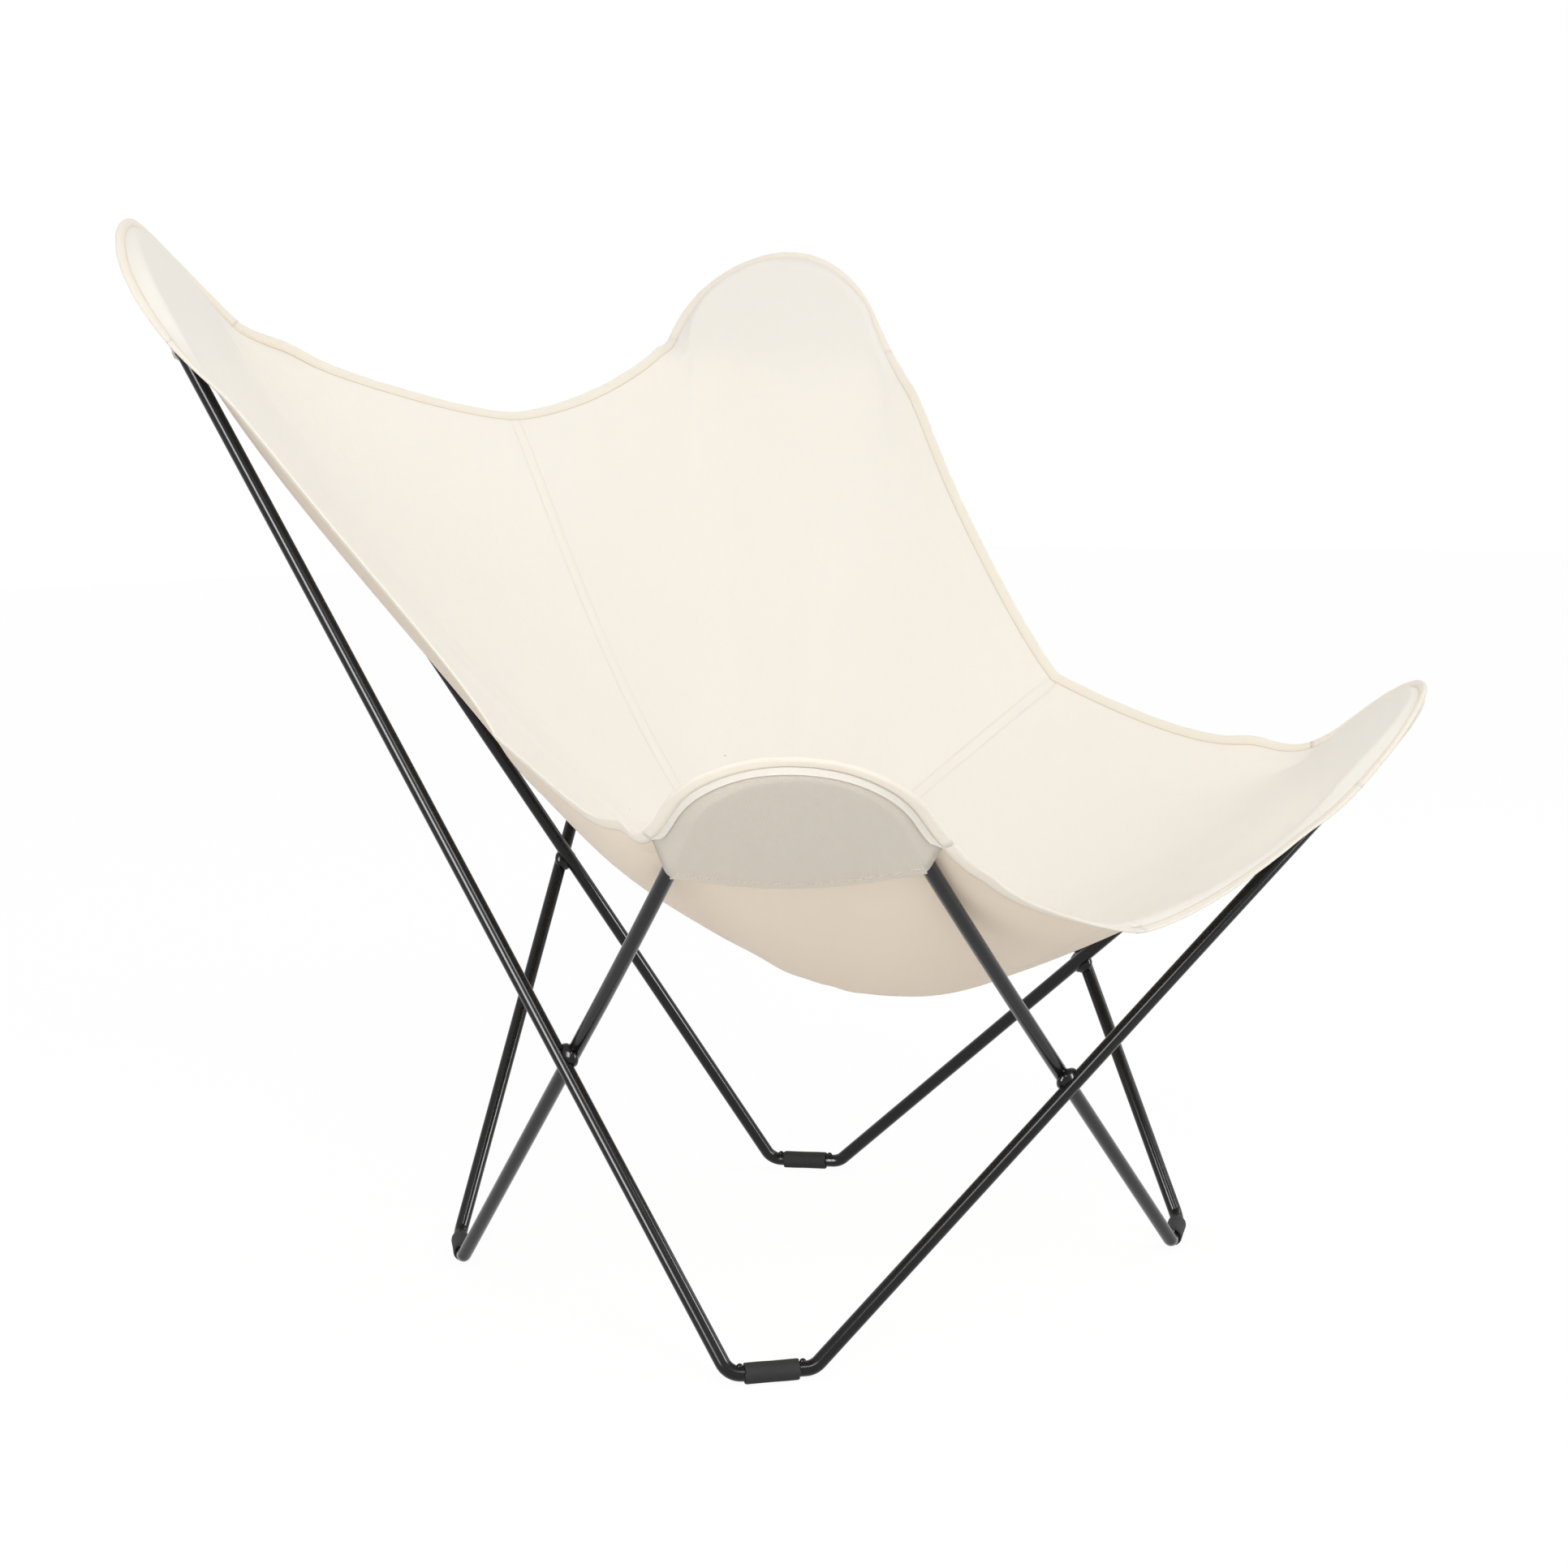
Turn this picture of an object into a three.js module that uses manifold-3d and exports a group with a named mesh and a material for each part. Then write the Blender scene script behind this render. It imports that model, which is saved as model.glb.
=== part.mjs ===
// Butterfly sling chair: two bent rod loops welded where they cross, and a canvas sling
// whose four pockets slip over the four lobes of the loops.
// Millimetres, +Z up, the sitter faces -Y, the floor is z = 0.

import * as THREE from 'three';
import { mergeVertices } from 'three/addons/utils/BufferGeometryUtils.js';
import Module from 'manifold-3d';

const wasm = await Module();
wasm.setup();

// Sizes of the rod frame
const ROD = 12;
const GAP = 0.3;
const BEND_RADIUS = 16;
const FRONT_FOOT_X = 253;
const FRONT_FOOT_Y = 220;
const FRONT_FOOT_HALF = 33;
const BACK_FOOT_X = 207;
const BACK_FOOT_Y = 220;
const BACK_FOOT_HALF = 34;
const HIGH_LOBE_X = 358.5;
const HIGH_LOBE_Y = 376.5;
const HIGH_LOBE_Z = 837.5;
const HIGH_LOBE_HALF = 88;
const HIGH_LEG_BOW = 11.5;
const LOW_LOBE_X = 332;
const LOW_LOBE_Y = 355;
const LOW_LOBE_Z = 452;
const LOW_LOBE_HALF = 70;
const LOW_LEG_BOW = 3.5;

// Turn of each foot in plan, in degrees, and the part of each leg that stays straight
const FRONT_FOOT_TURN = 33;
const BACK_FOOT_TURN = 56;
const HIGH_SIDE_STRAIGHT_SHARE = 0.36;
const HIGH_BACK_STRAIGHT_SHARE = 0.5;
const LOW_SIDE_STRAIGHT_SHARE = 0.6;
const LOW_FRONT_STRAIGHT_SHARE = 0.5;

// Sizes of the welds and the foot sleeves
const WELD_REACH = 10.5;
const WELD_DEPTH = 8;
const TACK = 2.6;
const SLEEVE_LENGTH = 43.5;
const SLEEVE_WALL = 1.9;
const SLEEVE_BEVEL = 0.7;
const SLEEVE_FLAT = 0.35;

// Sizes of the sling: where its seams cross, the middles of its free edges, its cloth
const CROSS_Y = 18.5;
const CROSS_Z = 286.5;
const BACK_EDGE_Y = 368.5;
const BACK_EDGE_Z = 731;
const SIDE_EDGE_X = 319.5;
const SIDE_EDGE_Y = -7;
const SIDE_EDGE_Z = 478;
const FRONT_EDGE_Y = -367.5;
const FRONT_EDGE_Z = 335.5;
const CANVAS = 1.2;
const BINDING_WIDTH = 11;
const BINDING_THICKNESS = 2.8;
const BINDING_BEVEL = 0.9;
const BINDING_GAP = 0.42;
const HIGH_BACK_POCKET = 20;
const HIGH_SIDE_POCKET = 35;
const LOW_POCKET = 36;
const POCKET_SAG = 16;
const HEM_WIDTH = 7;
const HEM_THICKNESS = 2.2;
const CORNER_REACH = 60;
const TAPE_WIDTH = 12;
const TAPE_THICKNESS = 0.8;
const TAPE_GAP = 0.7;

// Bezier handles of the free edges, as shares of the distance between their ends
const backEdgeShares = [[0.25, -0.01, 0], [-0.04, -0.04, -0.1]];
const sideEdgeHighShares = [[-0.03, -0.145, -0.22], [-0.015, 0.13, 0.13]];
const sideEdgeLowShares = [[0.065, -0.53, -0.22], [-0.01, 0.29, -0.015]];
const frontEdgeShares = [[-0.25, 0.04, -0.22], [0.12, -0.05, 0]];

// Bezier handles of the lines of cloth that run out from the seam crossing, as shares of a length:
// how a seam leaves the crossing and arrives at the edge, and how its neighbours turn off from it
const CROSS_SLOPE_SHARE = 0.69;
const backSeamShares = { leave: [0, 0.35], arrive: [0, -0.13, -0.21], turn: [0.11, 0, 0] };
const sideSeamShares = { leave: [0.17, 0.11], arrive: [-0.22, 0.13, -0.19], turn: [-0.02, 0.16, 0.1] };
const frontSeamShares = { leave: [0, -0.4], arrive: [0, 0.13, -0.02], turn: [0.19, 0, 0] };
const highPanelShares = { leave: [0.1, 0.09], apron: 0.34, handle: 0.07, narrowing: 0.8 };
const lowPanelShares = { leave: [0.11, -0.21], apron: 0.3, handle: 0.09, narrowing: 0.8 };

// Counts that set the fineness of the faceted solids
const ROD_SIDES = 12;
const BEND_STEPS = 4;
const BOW_STEPS = 5;
const ARCH_STEPS = 12;
const EDGE_STEPS = 8;
const POCKET_STEPS = 2;
const PANEL_RINGS = 8;
const WRAP_STEPS = 3;
const POCKET_RINGS = 4;
const SECANT_STEPS = 6;

const frameFinish = { color: 0x101011, roughness: 0.25, metalness: 0.6 };
const sleeveFinish = { color: 0x1b1b1c, roughness: 0.85, metalness: 0 };
const canvasFinish = { color: 0xf3ece0, roughness: 0.9, metalness: 0 };
const bindingFinish = { color: 0xeee2cd, roughness: 0.85, metalness: 0 };

const V = (x, y, z) => new THREE.Vector3(x, y, z);
const plus = (a, b) => a.clone().add(b);
const minus = (a, b) => a.clone().sub(b);
const times = (a, s) => a.clone().multiplyScalar(s);
const along = (a, b, s) => a.clone().addScaledVector(b, s);
const unit = (a) => a.clone().normalize();
const cross = (a, b) => new THREE.Vector3().crossVectors(a, b);
const mix = (a, b, s) => a.clone().lerp(b, s);
const smooth = (s) => s * s * (3 - 2 * s);
const square = (a, b) => a.clone().addScaledVector(b, -a.dot(b));
const range = (n) => Array.from({ length: n }, (_, i) => i);
const clamp01 = (s) => Math.min(Math.max(s, 0), 1);

const WRAP_RADIUS = ROD / 2 + GAP + CANVAS / 2;
const FOOT_Z = ROD / 2 + GAP + SLEEVE_WALL - SLEEVE_FLAT;
const SLEEVE_RADIUS = ROD / 2 + GAP + SLEEVE_WALL;

const chair = new THREE.Group();

// Solids

function signedVolume(geometry) {
  const p = geometry.getAttribute('position');
  const index = geometry.getIndex();
  const [a, b, c] = [V(0, 0, 0), V(0, 0, 0), V(0, 0, 0)];
  let sum = 0;
  for (let i = 0; i < index.count; i += 3) {
    a.fromBufferAttribute(p, index.getX(i));
    b.fromBufferAttribute(p, index.getX(i + 1));
    c.fromBufferAttribute(p, index.getX(i + 2));
    sum += a.dot(b.cross(c));
  }
  return sum;
}

// A closed solid from points and triangles, turned so that its faces point out.
function closedSolid(points, triangles) {
  const geometry = new THREE.BufferGeometry();
  const flat = points.flatMap((p) => p.toArray());
  geometry.setAttribute('position', new THREE.Float32BufferAttribute(flat, 3));
  geometry.setIndex(triangles.flat());
  if (signedVolume(geometry) < 0) {
    geometry.setIndex(triangles.flatMap(([a, b, c]) => [a, c, b]));
  }
  return geometry;
}

function toManifold(geometry) {
  const bare = geometry.clone();
  bare.deleteAttribute('normal');
  bare.deleteAttribute('uv');
  const merged = mergeVertices(bare);
  const vertProperties = new Float32Array(merged.getAttribute('position').array);
  const triVerts = new Uint32Array(merged.getIndex().array);
  return new wasm.Manifold(new wasm.Mesh({ numProp: 3, vertProperties, triVerts }));
}

function fromManifold(solid) {
  const mesh = solid.getMesh();
  const geometry = new THREE.BufferGeometry();
  geometry.setAttribute('position', new THREE.Float32BufferAttribute(mesh.vertProperties, 3));
  geometry.setIndex(Array.from(mesh.triVerts));
  return geometry;
}

function place(name, geometry, finish) {
  const mesh = new THREE.Mesh(geometry, new THREE.MeshStandardMaterial(finish));
  mesh.name = name;
  geometry.computeVertexNormals();
  chair.add(mesh);
}

// A closed strip: rings of points joined one after the other, with a flat cap at each end.
function ringSolid(rings) {
  const sides = rings[0].length;
  const points = rings.flat();
  const triangles = [];
  for (const r of range(rings.length - 1)) {
    for (const s of range(sides)) {
      const a = r * sides + s;
      const b = r * sides + ((s + 1) % sides);
      triangles.push([a, b, b + sides], [a, b + sides, a + sides]);
    }
  }
  const last = (rings.length - 1) * sides;
  for (const s of range(sides - 2)) {
    triangles.push([0, s + 2, s + 1], [last, last + s + 1, last + s + 2]);
  }
  return closedSolid(points, triangles);
}

// A closed sheet between two grids of points, grid[row][column].
// A tipped sheet's first row is a single point, where all its columns meet.
function sheetSolid(upper, lower, tipped) {
  const rows = upper.length;
  const columns = upper[1].length;
  const points = [];
  const number = (grid) => grid.map((row, r) => row.map((p, c) => {
    if (tipped && r === 0 && c > 0) {
      return points.length - 1;
    }
    points.push(p);
    return points.length - 1;
  }));
  const up = number(upper);
  const down = number(lower);
  const triangles = [];
  const quad = (a, b, c, d) => {
    if (a !== b) triangles.push([a, b, c]);
    if (c !== d) triangles.push([a, c, d]);
  };
  for (const r of range(rows - 1)) {
    for (const c of range(columns - 1)) {
      quad(up[r][c], up[r][c + 1], up[r + 1][c + 1], up[r + 1][c]);
      quad(down[r + 1][c], down[r + 1][c + 1], down[r][c + 1], down[r][c]);
    }
    for (const c of [0, columns - 1]) {
      const [a, b, d, e] = [up[r][c], up[r + 1][c], down[r + 1][c], down[r][c]];
      if (c === 0) quad(a, b, d, e);
      else quad(e, d, b, a);
    }
  }
  for (const c of range(columns - 1)) {
    const r = rows - 1;
    quad(up[r][c], up[r][c + 1], down[r][c + 1], down[r][c]);
    if (!tipped) quad(down[0][c], down[0][c + 1], up[0][c + 1], up[0][c]);
  }
  return closedSolid(points, triangles);
}

// A round bar of the rod's section along a line of points, with flat ends.
function barAlong(line, radius) {
  const tangents = line.map((p, i) => unit(minus(line[Math.min(i + 1, line.length - 1)],
    line[Math.max(i - 1, 0)])));
  let across = unit(cross(tangents[0], V(0, 0, 1)));
  const rings = line.map((p, i) => {
    across = unit(square(across, tangents[i]));
    const up = cross(tangents[i], across);
    return range(ROD_SIDES).map((s) => {
      const angle = (s + 0.5) / ROD_SIDES * 2 * Math.PI;
      return along(along(p, across, radius * Math.cos(angle)), up, radius * Math.sin(angle));
    });
  });
  return ringSolid(rings);
}

// Frame

// A foot lies in plan from its side end to its inner end, the crossing points of its line
// with the lines of its two legs.
function footEnds(x, y, half, turn, forward) {
  const angle = THREE.MathUtils.degToRad(turn);
  const centre = V(x, y * forward, FOOT_Z);
  const run = V(-Math.cos(angle), Math.sin(angle) * forward, 0);
  return { centre, run, side: along(centre, run, -half), inner: along(centre, run, half) };
}

// A leg runs straight up from its foot, then bows outward by a parabola to the lobe's end.
function makeLeg(foot, top, outward, bow, straight) {
  const aim = along(top, outward, -bow);
  const point = (s) => {
    const over = Math.max(0, (s - straight) / (1 - straight));
    return along(mix(foot, aim, s), outward, bow * over * over);
  };
  const rise = unit(minus(aim, foot));
  const arrive = unit(along(minus(aim, foot), outward, 2 * bow / (1 - straight)));
  return { foot, top, straight, point, rise, arrive };
}

// A lobe is an arc that carries on from one leg into the other.
function makeLobe(a, b) {
  const side = unit(minus(a.top, b.top));
  const down = unit(square(plus(a.arrive, b.arrive).negate(), side));
  const lean = Math.acos(a.arrive.dot(b.arrive)) / 2;
  const half = a.top.distanceTo(b.top) / 2;
  const radius = half / Math.cos(lean);
  const centre = along(mix(a.top, b.top, 0.5), down, radius * Math.sin(lean));
  const normal = cross(side, down);
  if (normal.z < 0) normal.negate();
  const spread = Math.PI / 2 - lean;
  const out = (s) => {
    const angle = spread * (1 - 2 * s);
    return along(times(side, Math.sin(angle)), down, -Math.cos(angle));
  };
  return { a, b, side, down, radius, centre, normal, out, arc: (s) => along(centre, out(s), radius) };
}

// How far apart two leg lines pass, and the point half way between them where they do.
function crossing(a, b) {
  const normal = unit(cross(a.rise, b.rise));
  const apart = minus(b.foot, a.foot);
  const distance = apart.dot(normal);
  const span = square(apart, normal);
  const reach = cross(span, b.rise).dot(cross(a.rise, b.rise)) / cross(a.rise, b.rise).lengthSq();
  const onA = along(a.foot, a.rise, reach);
  return { normal, point: along(onA, normal, distance / 2) };
}

const toward = (side, point) => V(side * point.x, point.y, point.z);
const frontFoot = footEnds(FRONT_FOOT_X, FRONT_FOOT_Y, FRONT_FOOT_HALF, FRONT_FOOT_TURN, -1);
const backFoot = footEnds(BACK_FOOT_X, BACK_FOOT_Y, BACK_FOOT_HALF, BACK_FOOT_TURN, 1);

// Ends of the lobes: the side end lies toward the chair's side, the inner end toward its middle.
function lobeEnds(x, y, z, half, forward) {
  const run = unit(V(-1, forward, 0));
  const middle = V(x, y * forward, z);
  return { side: along(middle, run, -half), inner: along(middle, run, half) };
}
const highEnds = lobeEnds(HIGH_LOBE_X, HIGH_LOBE_Y, HIGH_LOBE_Z, HIGH_LOBE_HALF, 1);
const lowEnds = lobeEnds(LOW_LOBE_X, LOW_LOBE_Y, LOW_LOBE_Z, LOW_LOBE_HALF, -1);

// The two loops are alike, so each is shifted a little along Y for the rods to pass at the front.
function loopShift() {
  const run = minus(lowEnds.inner, toward(-1, frontFoot.inner));
  return (ROD + GAP) / 2 * Math.hypot(run.y, run.z) / run.z;
}
const LOOP_SHIFT = loopShift();

function legPair(side, shiftY, sideFoot, innerFoot, ends, shiftX, bow, sideStraight, innerStraight) {
  const move = (p, x) => plus(toward(side, p), V(x, shiftY, 0));
  const tops = [move(ends.side, shiftX), move(ends.inner, shiftX)];
  const feet = [move(sideFoot.side, 0), plus(toward(-side, innerFoot.inner), V(0, shiftY, 0))];
  const outward = (i) => unit(square(minus(tops[i], tops[1 - i]), unit(minus(tops[i], feet[i]))));
  const straights = [sideStraight, innerStraight];
  return [0, 1].map((i) => makeLeg(feet[i], tops[i], outward(i), bow, straights[i]));
}

const highLegs = (side) => legPair(side, side * LOOP_SHIFT, frontFoot, backFoot, highEnds, 0,
  HIGH_LEG_BOW, HIGH_SIDE_STRAIGHT_SHARE, HIGH_BACK_STRAIGHT_SHARE);
const lowLegs = (side, shiftX) => legPair(side, -side * LOOP_SHIFT, backFoot, frontFoot, lowEnds, shiftX,
  LOW_LEG_BOW, LOW_SIDE_STRAIGHT_SHARE, LOW_FRONT_STRAIGHT_SHARE);

// The low lobe moves sideways until its side leg passes a rod and a gap inside the high leg.
function lowLobeShift(side) {
  const high = highLegs(side)[0];
  const miss = (x) => {
    const low = lowLegs(side, x)[0];
    const { normal } = crossing(low, high);
    const outward = normal.x * side > 0 ? 1 : -1;
    return minus(high.foot, low.foot).dot(normal) * outward - (ROD + GAP);
  };
  let [x0, x1] = [0, side * ROD / 2];
  let [m0, m1] = [miss(x0), miss(x1)];
  for (const step of range(SECANT_STEPS)) {
    if (m1 === m0) return x1;
    const x2 = x1 - m1 * (x1 - x0) / (m1 - m0);
    [x0, m0, x1, m1] = [x1, m1, x2, miss(x2)];
  }
  return x1;
}

const SIDES = { left: -1, right: 1 };
const frame = {};
for (const [name, side] of Object.entries(SIDES)) {
  frame[`high_${name}`] = { side, legs: highLegs(side), feet: [frontFoot, backFoot] };
  frame[`low_${name}`] = { side, legs: lowLegs(side, lowLobeShift(side)), feet: [backFoot, frontFoot] };
}
for (const half of Object.values(frame)) {
  half.lobe = makeLobe(...half.legs);
}

// From the butt in the middle of a foot, round the bend, up the leg to the lobe.
function footToTop(leg, run) {
  const turn = Math.acos(run.dot(leg.rise));
  const tangent = BEND_RADIUS * Math.tan(turn / 2);
  const inward = unit(square(leg.rise, run));
  const start = along(leg.foot, run, -tangent);
  const points = range(BEND_STEPS + 1).map((i) => {
    const angle = turn * i / BEND_STEPS;
    const ahead = along(start, run, BEND_RADIUS * Math.sin(angle));
    return along(ahead, inward, BEND_RADIUS * (1 - Math.cos(angle)));
  });
  for (const i of range(BOW_STEPS + 1)) {
    points.push(leg.point(leg.straight + (1 - leg.straight) * i / BOW_STEPS));
  }
  return points;
}

function footRun(half, i) {
  const foot = half.feet[i];
  return i === 0 ? times(toward(half.side, foot.run), -1) : toward(-half.side, foot.run);
}

function makeRod(half) {
  const arms = [0, 1].map((i) => {
    const run = footRun(half, i);
    const reach = i === 0 ? half.feet[0].side.distanceTo(half.feet[0].centre)
      : half.feet[1].inner.distanceTo(half.feet[1].centre);
    const butt = along(half.legs[i].foot, run, GAP / 2 - reach);
    const tackAt = along(butt, run, SLEEVE_LENGTH / 2 + TACK);
    return { line: [butt, ...footToTop(half.legs[i], run)], tack: plus(tackAt, V(0, 0, ROD / 2)) };
  });
  const arch = range(ARCH_STEPS - 1).map((i) => half.lobe.arc((i + 1) / ARCH_STEPS));
  const line = [...arms[0].line, ...arch, ...arms[1].line.reverse()];
  let solid = toManifold(barAlong(line, ROD / 2));
  for (const { tack } of arms) {
    const bead = new THREE.IcosahedronGeometry(TACK, 1);
    bead.translate(tack.x, tack.y, tack.z);
    solid = solid.add(toManifold(bead));
  }
  return fromManifold(solid);
}

// A turned or straight cylinder, laid with its axis along a direction.
function lay(geometry, axis, centre) {
  const turn = new THREE.Quaternion().setFromUnitVectors(V(0, 1, 0), axis);
  geometry.applyQuaternion(turn);
  geometry.translate(centre.x, centre.y, centre.z);
  return geometry;
}

// A weld is the lump that fills the corners between two crossing rods.
function makeWeld(a, b) {
  const meet = crossing(a, b);
  const lump = new THREE.IcosahedronGeometry(1, 2);
  lump.scale(WELD_REACH, WELD_DEPTH, WELD_REACH);
  let solid = toManifold(lay(lump, meet.normal, meet.point));
  for (const leg of [a, b]) {
    const reach = minus(meet.point, leg.foot).dot(leg.rise);
    const radius = ROD / 2 + GAP;
    const clear = new THREE.CylinderGeometry(radius, radius, 4 * WELD_REACH, 2 * ROD_SIDES);
    solid = solid.subtract(toManifold(lay(clear, leg.rise, along(leg.foot, leg.rise, reach))));
  }
  return fromManifold(solid);
}

// A foot sleeve is a short tube with bevelled ends, worn flat where it stands on the floor.
function makeSleeve(foot, side, shiftY) {
  const inner = ROD / 2 + GAP;
  const half = SLEEVE_LENGTH / 2;
  const profile = [
    [inner, -half], [SLEEVE_RADIUS - SLEEVE_BEVEL, -half], [SLEEVE_RADIUS, SLEEVE_BEVEL - half],
    [SLEEVE_RADIUS, half - SLEEVE_BEVEL], [SLEEVE_RADIUS - SLEEVE_BEVEL, half], [inner, half],
    [inner, -half],
  ].map(([r, y]) => new THREE.Vector2(r, y));
  const centre = plus(toward(side, foot.centre), V(0, shiftY, 0));
  const tube = lay(new THREE.LatheGeometry(profile, 2 * ROD_SIDES), toward(side, foot.run), centre);
  const floor = new THREE.BoxGeometry(2 * SLEEVE_LENGTH, 2 * SLEEVE_LENGTH, 2 * SLEEVE_RADIUS);
  floor.translate(centre.x, centre.y, -SLEEVE_RADIUS);
  return fromManifold(toManifold(tube).subtract(toManifold(floor)));
}

for (const [name, half] of Object.entries(frame)) {
  place(`${name.replace('_', '_rod_')}`, makeRod(half), frameFinish);
}
place('front_weld', makeWeld(frame.low_left.legs[1], frame.low_right.legs[1]), frameFinish);
place('back_weld', makeWeld(frame.high_left.legs[1], frame.high_right.legs[1]), frameFinish);
for (const [name, side] of Object.entries(SIDES)) {
  place(`${name}_weld`, makeWeld(frame[`high_${name}`].legs[0], frame[`low_${name}`].legs[0]), frameFinish);
  place(`front_${name}_foot_sleeve`, makeSleeve(frontFoot, side, side * LOOP_SHIFT), sleeveFinish);
  place(`back_${name}_foot_sleeve`, makeSleeve(backFoot, side, -side * LOOP_SHIFT), sleeveFinish);
}

// Sling

const bezier = (p, s) => {
  const t = 1 - s;
  const sum = times(p[0], t * t * t);
  sum.addScaledVector(p[1], 3 * t * t * s);
  sum.addScaledVector(p[2], 3 * t * s * s);
  return sum.addScaledVector(p[3], s * s * s);
};

const CROSS = V(0, CROSS_Y, CROSS_Z);
const inSlope = ([x, y], length) => V(x, y, y * CROSS_SLOPE_SHARE).multiplyScalar(length);
const scaled = (share, length) => V(...share).multiplyScalar(length);

// Stations along the rod of a lobe, from one pocket corner round to the other.
function lobeStations(lobe, drops) {
  const leg = (arm, drop, i) => arm.point(1 - drop / (arm.top.z - arm.foot.z) * (1 - i / POCKET_STEPS));
  const first = range(POCKET_STEPS).map((i) => ({ rod: leg(lobe.a, drops[0], i), out: lobe.out(0) }));
  const arch = range(ARCH_STEPS + 1).map((i) => i / ARCH_STEPS);
  const last = range(POCKET_STEPS).map((i) => ({ rod: leg(lobe.b, drops[1], i), out: lobe.out(1) }));
  return [...first, ...arch.map((s) => ({ rod: lobe.arc(s), out: lobe.out(s) })), ...last.reverse()];
}

// Stations along one quarter of the sling's rim, from the middle of one free edge over the lobe
// to the middle of the next. Each has the point where the cloth starts to wrap the rod or to run
// out flat, the directions outward and up from the cloth, and how much it wraps.
function rimStations(lobe, drops, before, after) {
  const ring = lobeStations(lobe, drops);
  const lips = ring.map(({ rod, out }) => ({
    point: along(rod, lobe.normal, WRAP_RADIUS), out, up: lobe.normal, wrap: 1,
  }));
  const edge = (curve, lip) => range(EDGE_STEPS).map((i) => ({ point: bezier(curve, i / EDGE_STEPS), lip }));
  const last = lips.at(-1);
  return [...edge(before(lips[0].point), lips[0]), ...lips, ...edge(after(last.point), last).reverse()];
}

// One quarter of the sling. Its lines of cloth are cubic curves from the seam crossing to the rim,
// whose second handles lie on one smooth line, the apron, from one seam to the other.
function makeQuarter(half, spec) {
  const { side, lobe } = half;
  const mirror = (v) => toward(side, v);
  const middles = spec.middles.map(mirror);
  const curveFrom = (i) => (lip) => {
    const length = lip.distanceTo(middles[i]);
    const handles = spec.edges[i].map((share) => mirror(scaled(share, length)));
    return [middles[i], plus(middles[i], handles[0]), plus(lip, handles[1]), lip];
  };
  const stations = rimStations(lobe, spec.drops, curveFrom(0), curveFrom(1));
  const count = stations.length;
  const lengths = middles.map((m) => m.distanceTo(CROSS));
  const reach = lobe.centre.distanceTo(CROSS);
  const apron = along(along(lobe.centre, lobe.down, spec.panel.apron * reach), lobe.normal, WRAP_RADIUS);
  const onApron = ({ point }) => {
    const sideways = minus(point, lobe.centre).dot(lobe.side) * spec.panel.narrowing;
    return along(apron, lobe.side, sideways);
  };
  const apronEnds = [onApron(stations[EDGE_STEPS]), onApron(stations[count - 1 - EDGE_STEPS])];
  const apronLines = apronEnds.map((end, i) => {
    const seam = spec.seams[i];
    const start = plus(middles[i], mirror(scaled(seam.arrive, lengths[i])));
    const turn = mirror(scaled(seam.turn, lengths[i] * spec.turns[i]));
    const away = (i === 0 ? 1 : -1) * spec.panel.handle * reach;
    return [start, plus(start, turn), along(end, lobe.side, away), end];
  });
  const leaveLobe = mirror(inSlope(spec.panel.leave, reach));
  stations.forEach((station, i) => {
    const near = i < count / 2 ? 0 : 1;
    const steps = Math.min(i, count - 1 - i);
    const leaveSeam = mirror(inSlope(spec.seams[near].leave, lengths[near]));
    station.leave = mix(leaveSeam, leaveLobe, smooth(2 * steps / (count - 1)));
    const onLine = steps < EDGE_STEPS ? bezier(apronLines[near], steps / EDGE_STEPS) : onApron(station);
    station.arrive = minus(onLine, station.point);
  });
  stations.forEach((station, i) => {
    if (station.wrap) return;
    const ahead = stations[Math.min(i + 1, count - 1)].point;
    const behind = stations[Math.max(i - 1, 0)].point;
    const run = unit(minus(ahead, behind));
    const { lip } = station;
    const far = clamp01(station.point.distanceTo(lip.point) / CORNER_REACH);
    const plain = unit(square(times(station.arrive, -1), run));
    const upright = cross(run, plain);
    if (upright.dot(lobe.normal) < 0) upright.negate();
    station.out = unit(mix(lip.out, plain, smooth(far)));
    station.up = unit(square(mix(lip.up, upright, smooth(far)), station.out));
    station.wrap = 1 - smooth(far);
  });
  return { side, lobe, stations };
}

// A point of the strip past the lip: turned about the rod where the cloth wraps it, flat elsewhere.
// The angle runs from 0 at the lip to a right angle where panel and pocket meet.
function wrapped(station, angle, up) {
  const { point, out, wrap } = station;
  const centre = along(point, station.up, -WRAP_RADIUS);
  const round = along(along(centre, out, WRAP_RADIUS * Math.sin(angle)), up, WRAP_RADIUS * Math.cos(angle));
  const flat = along(point, out, WRAP_RADIUS * angle);
  const bent = plus(times(out, Math.sin(angle)), times(up, Math.cos(angle)));
  return { point: mix(flat, round, wrap), up: unit(mix(up, bent, wrap)) };
}

const WRAP_END = Math.PI / 2 - GAP / 2 / WRAP_RADIUS;
const CROSS_UP = unit(V(0, -CROSS_SLOPE_SHARE, 1));

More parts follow.
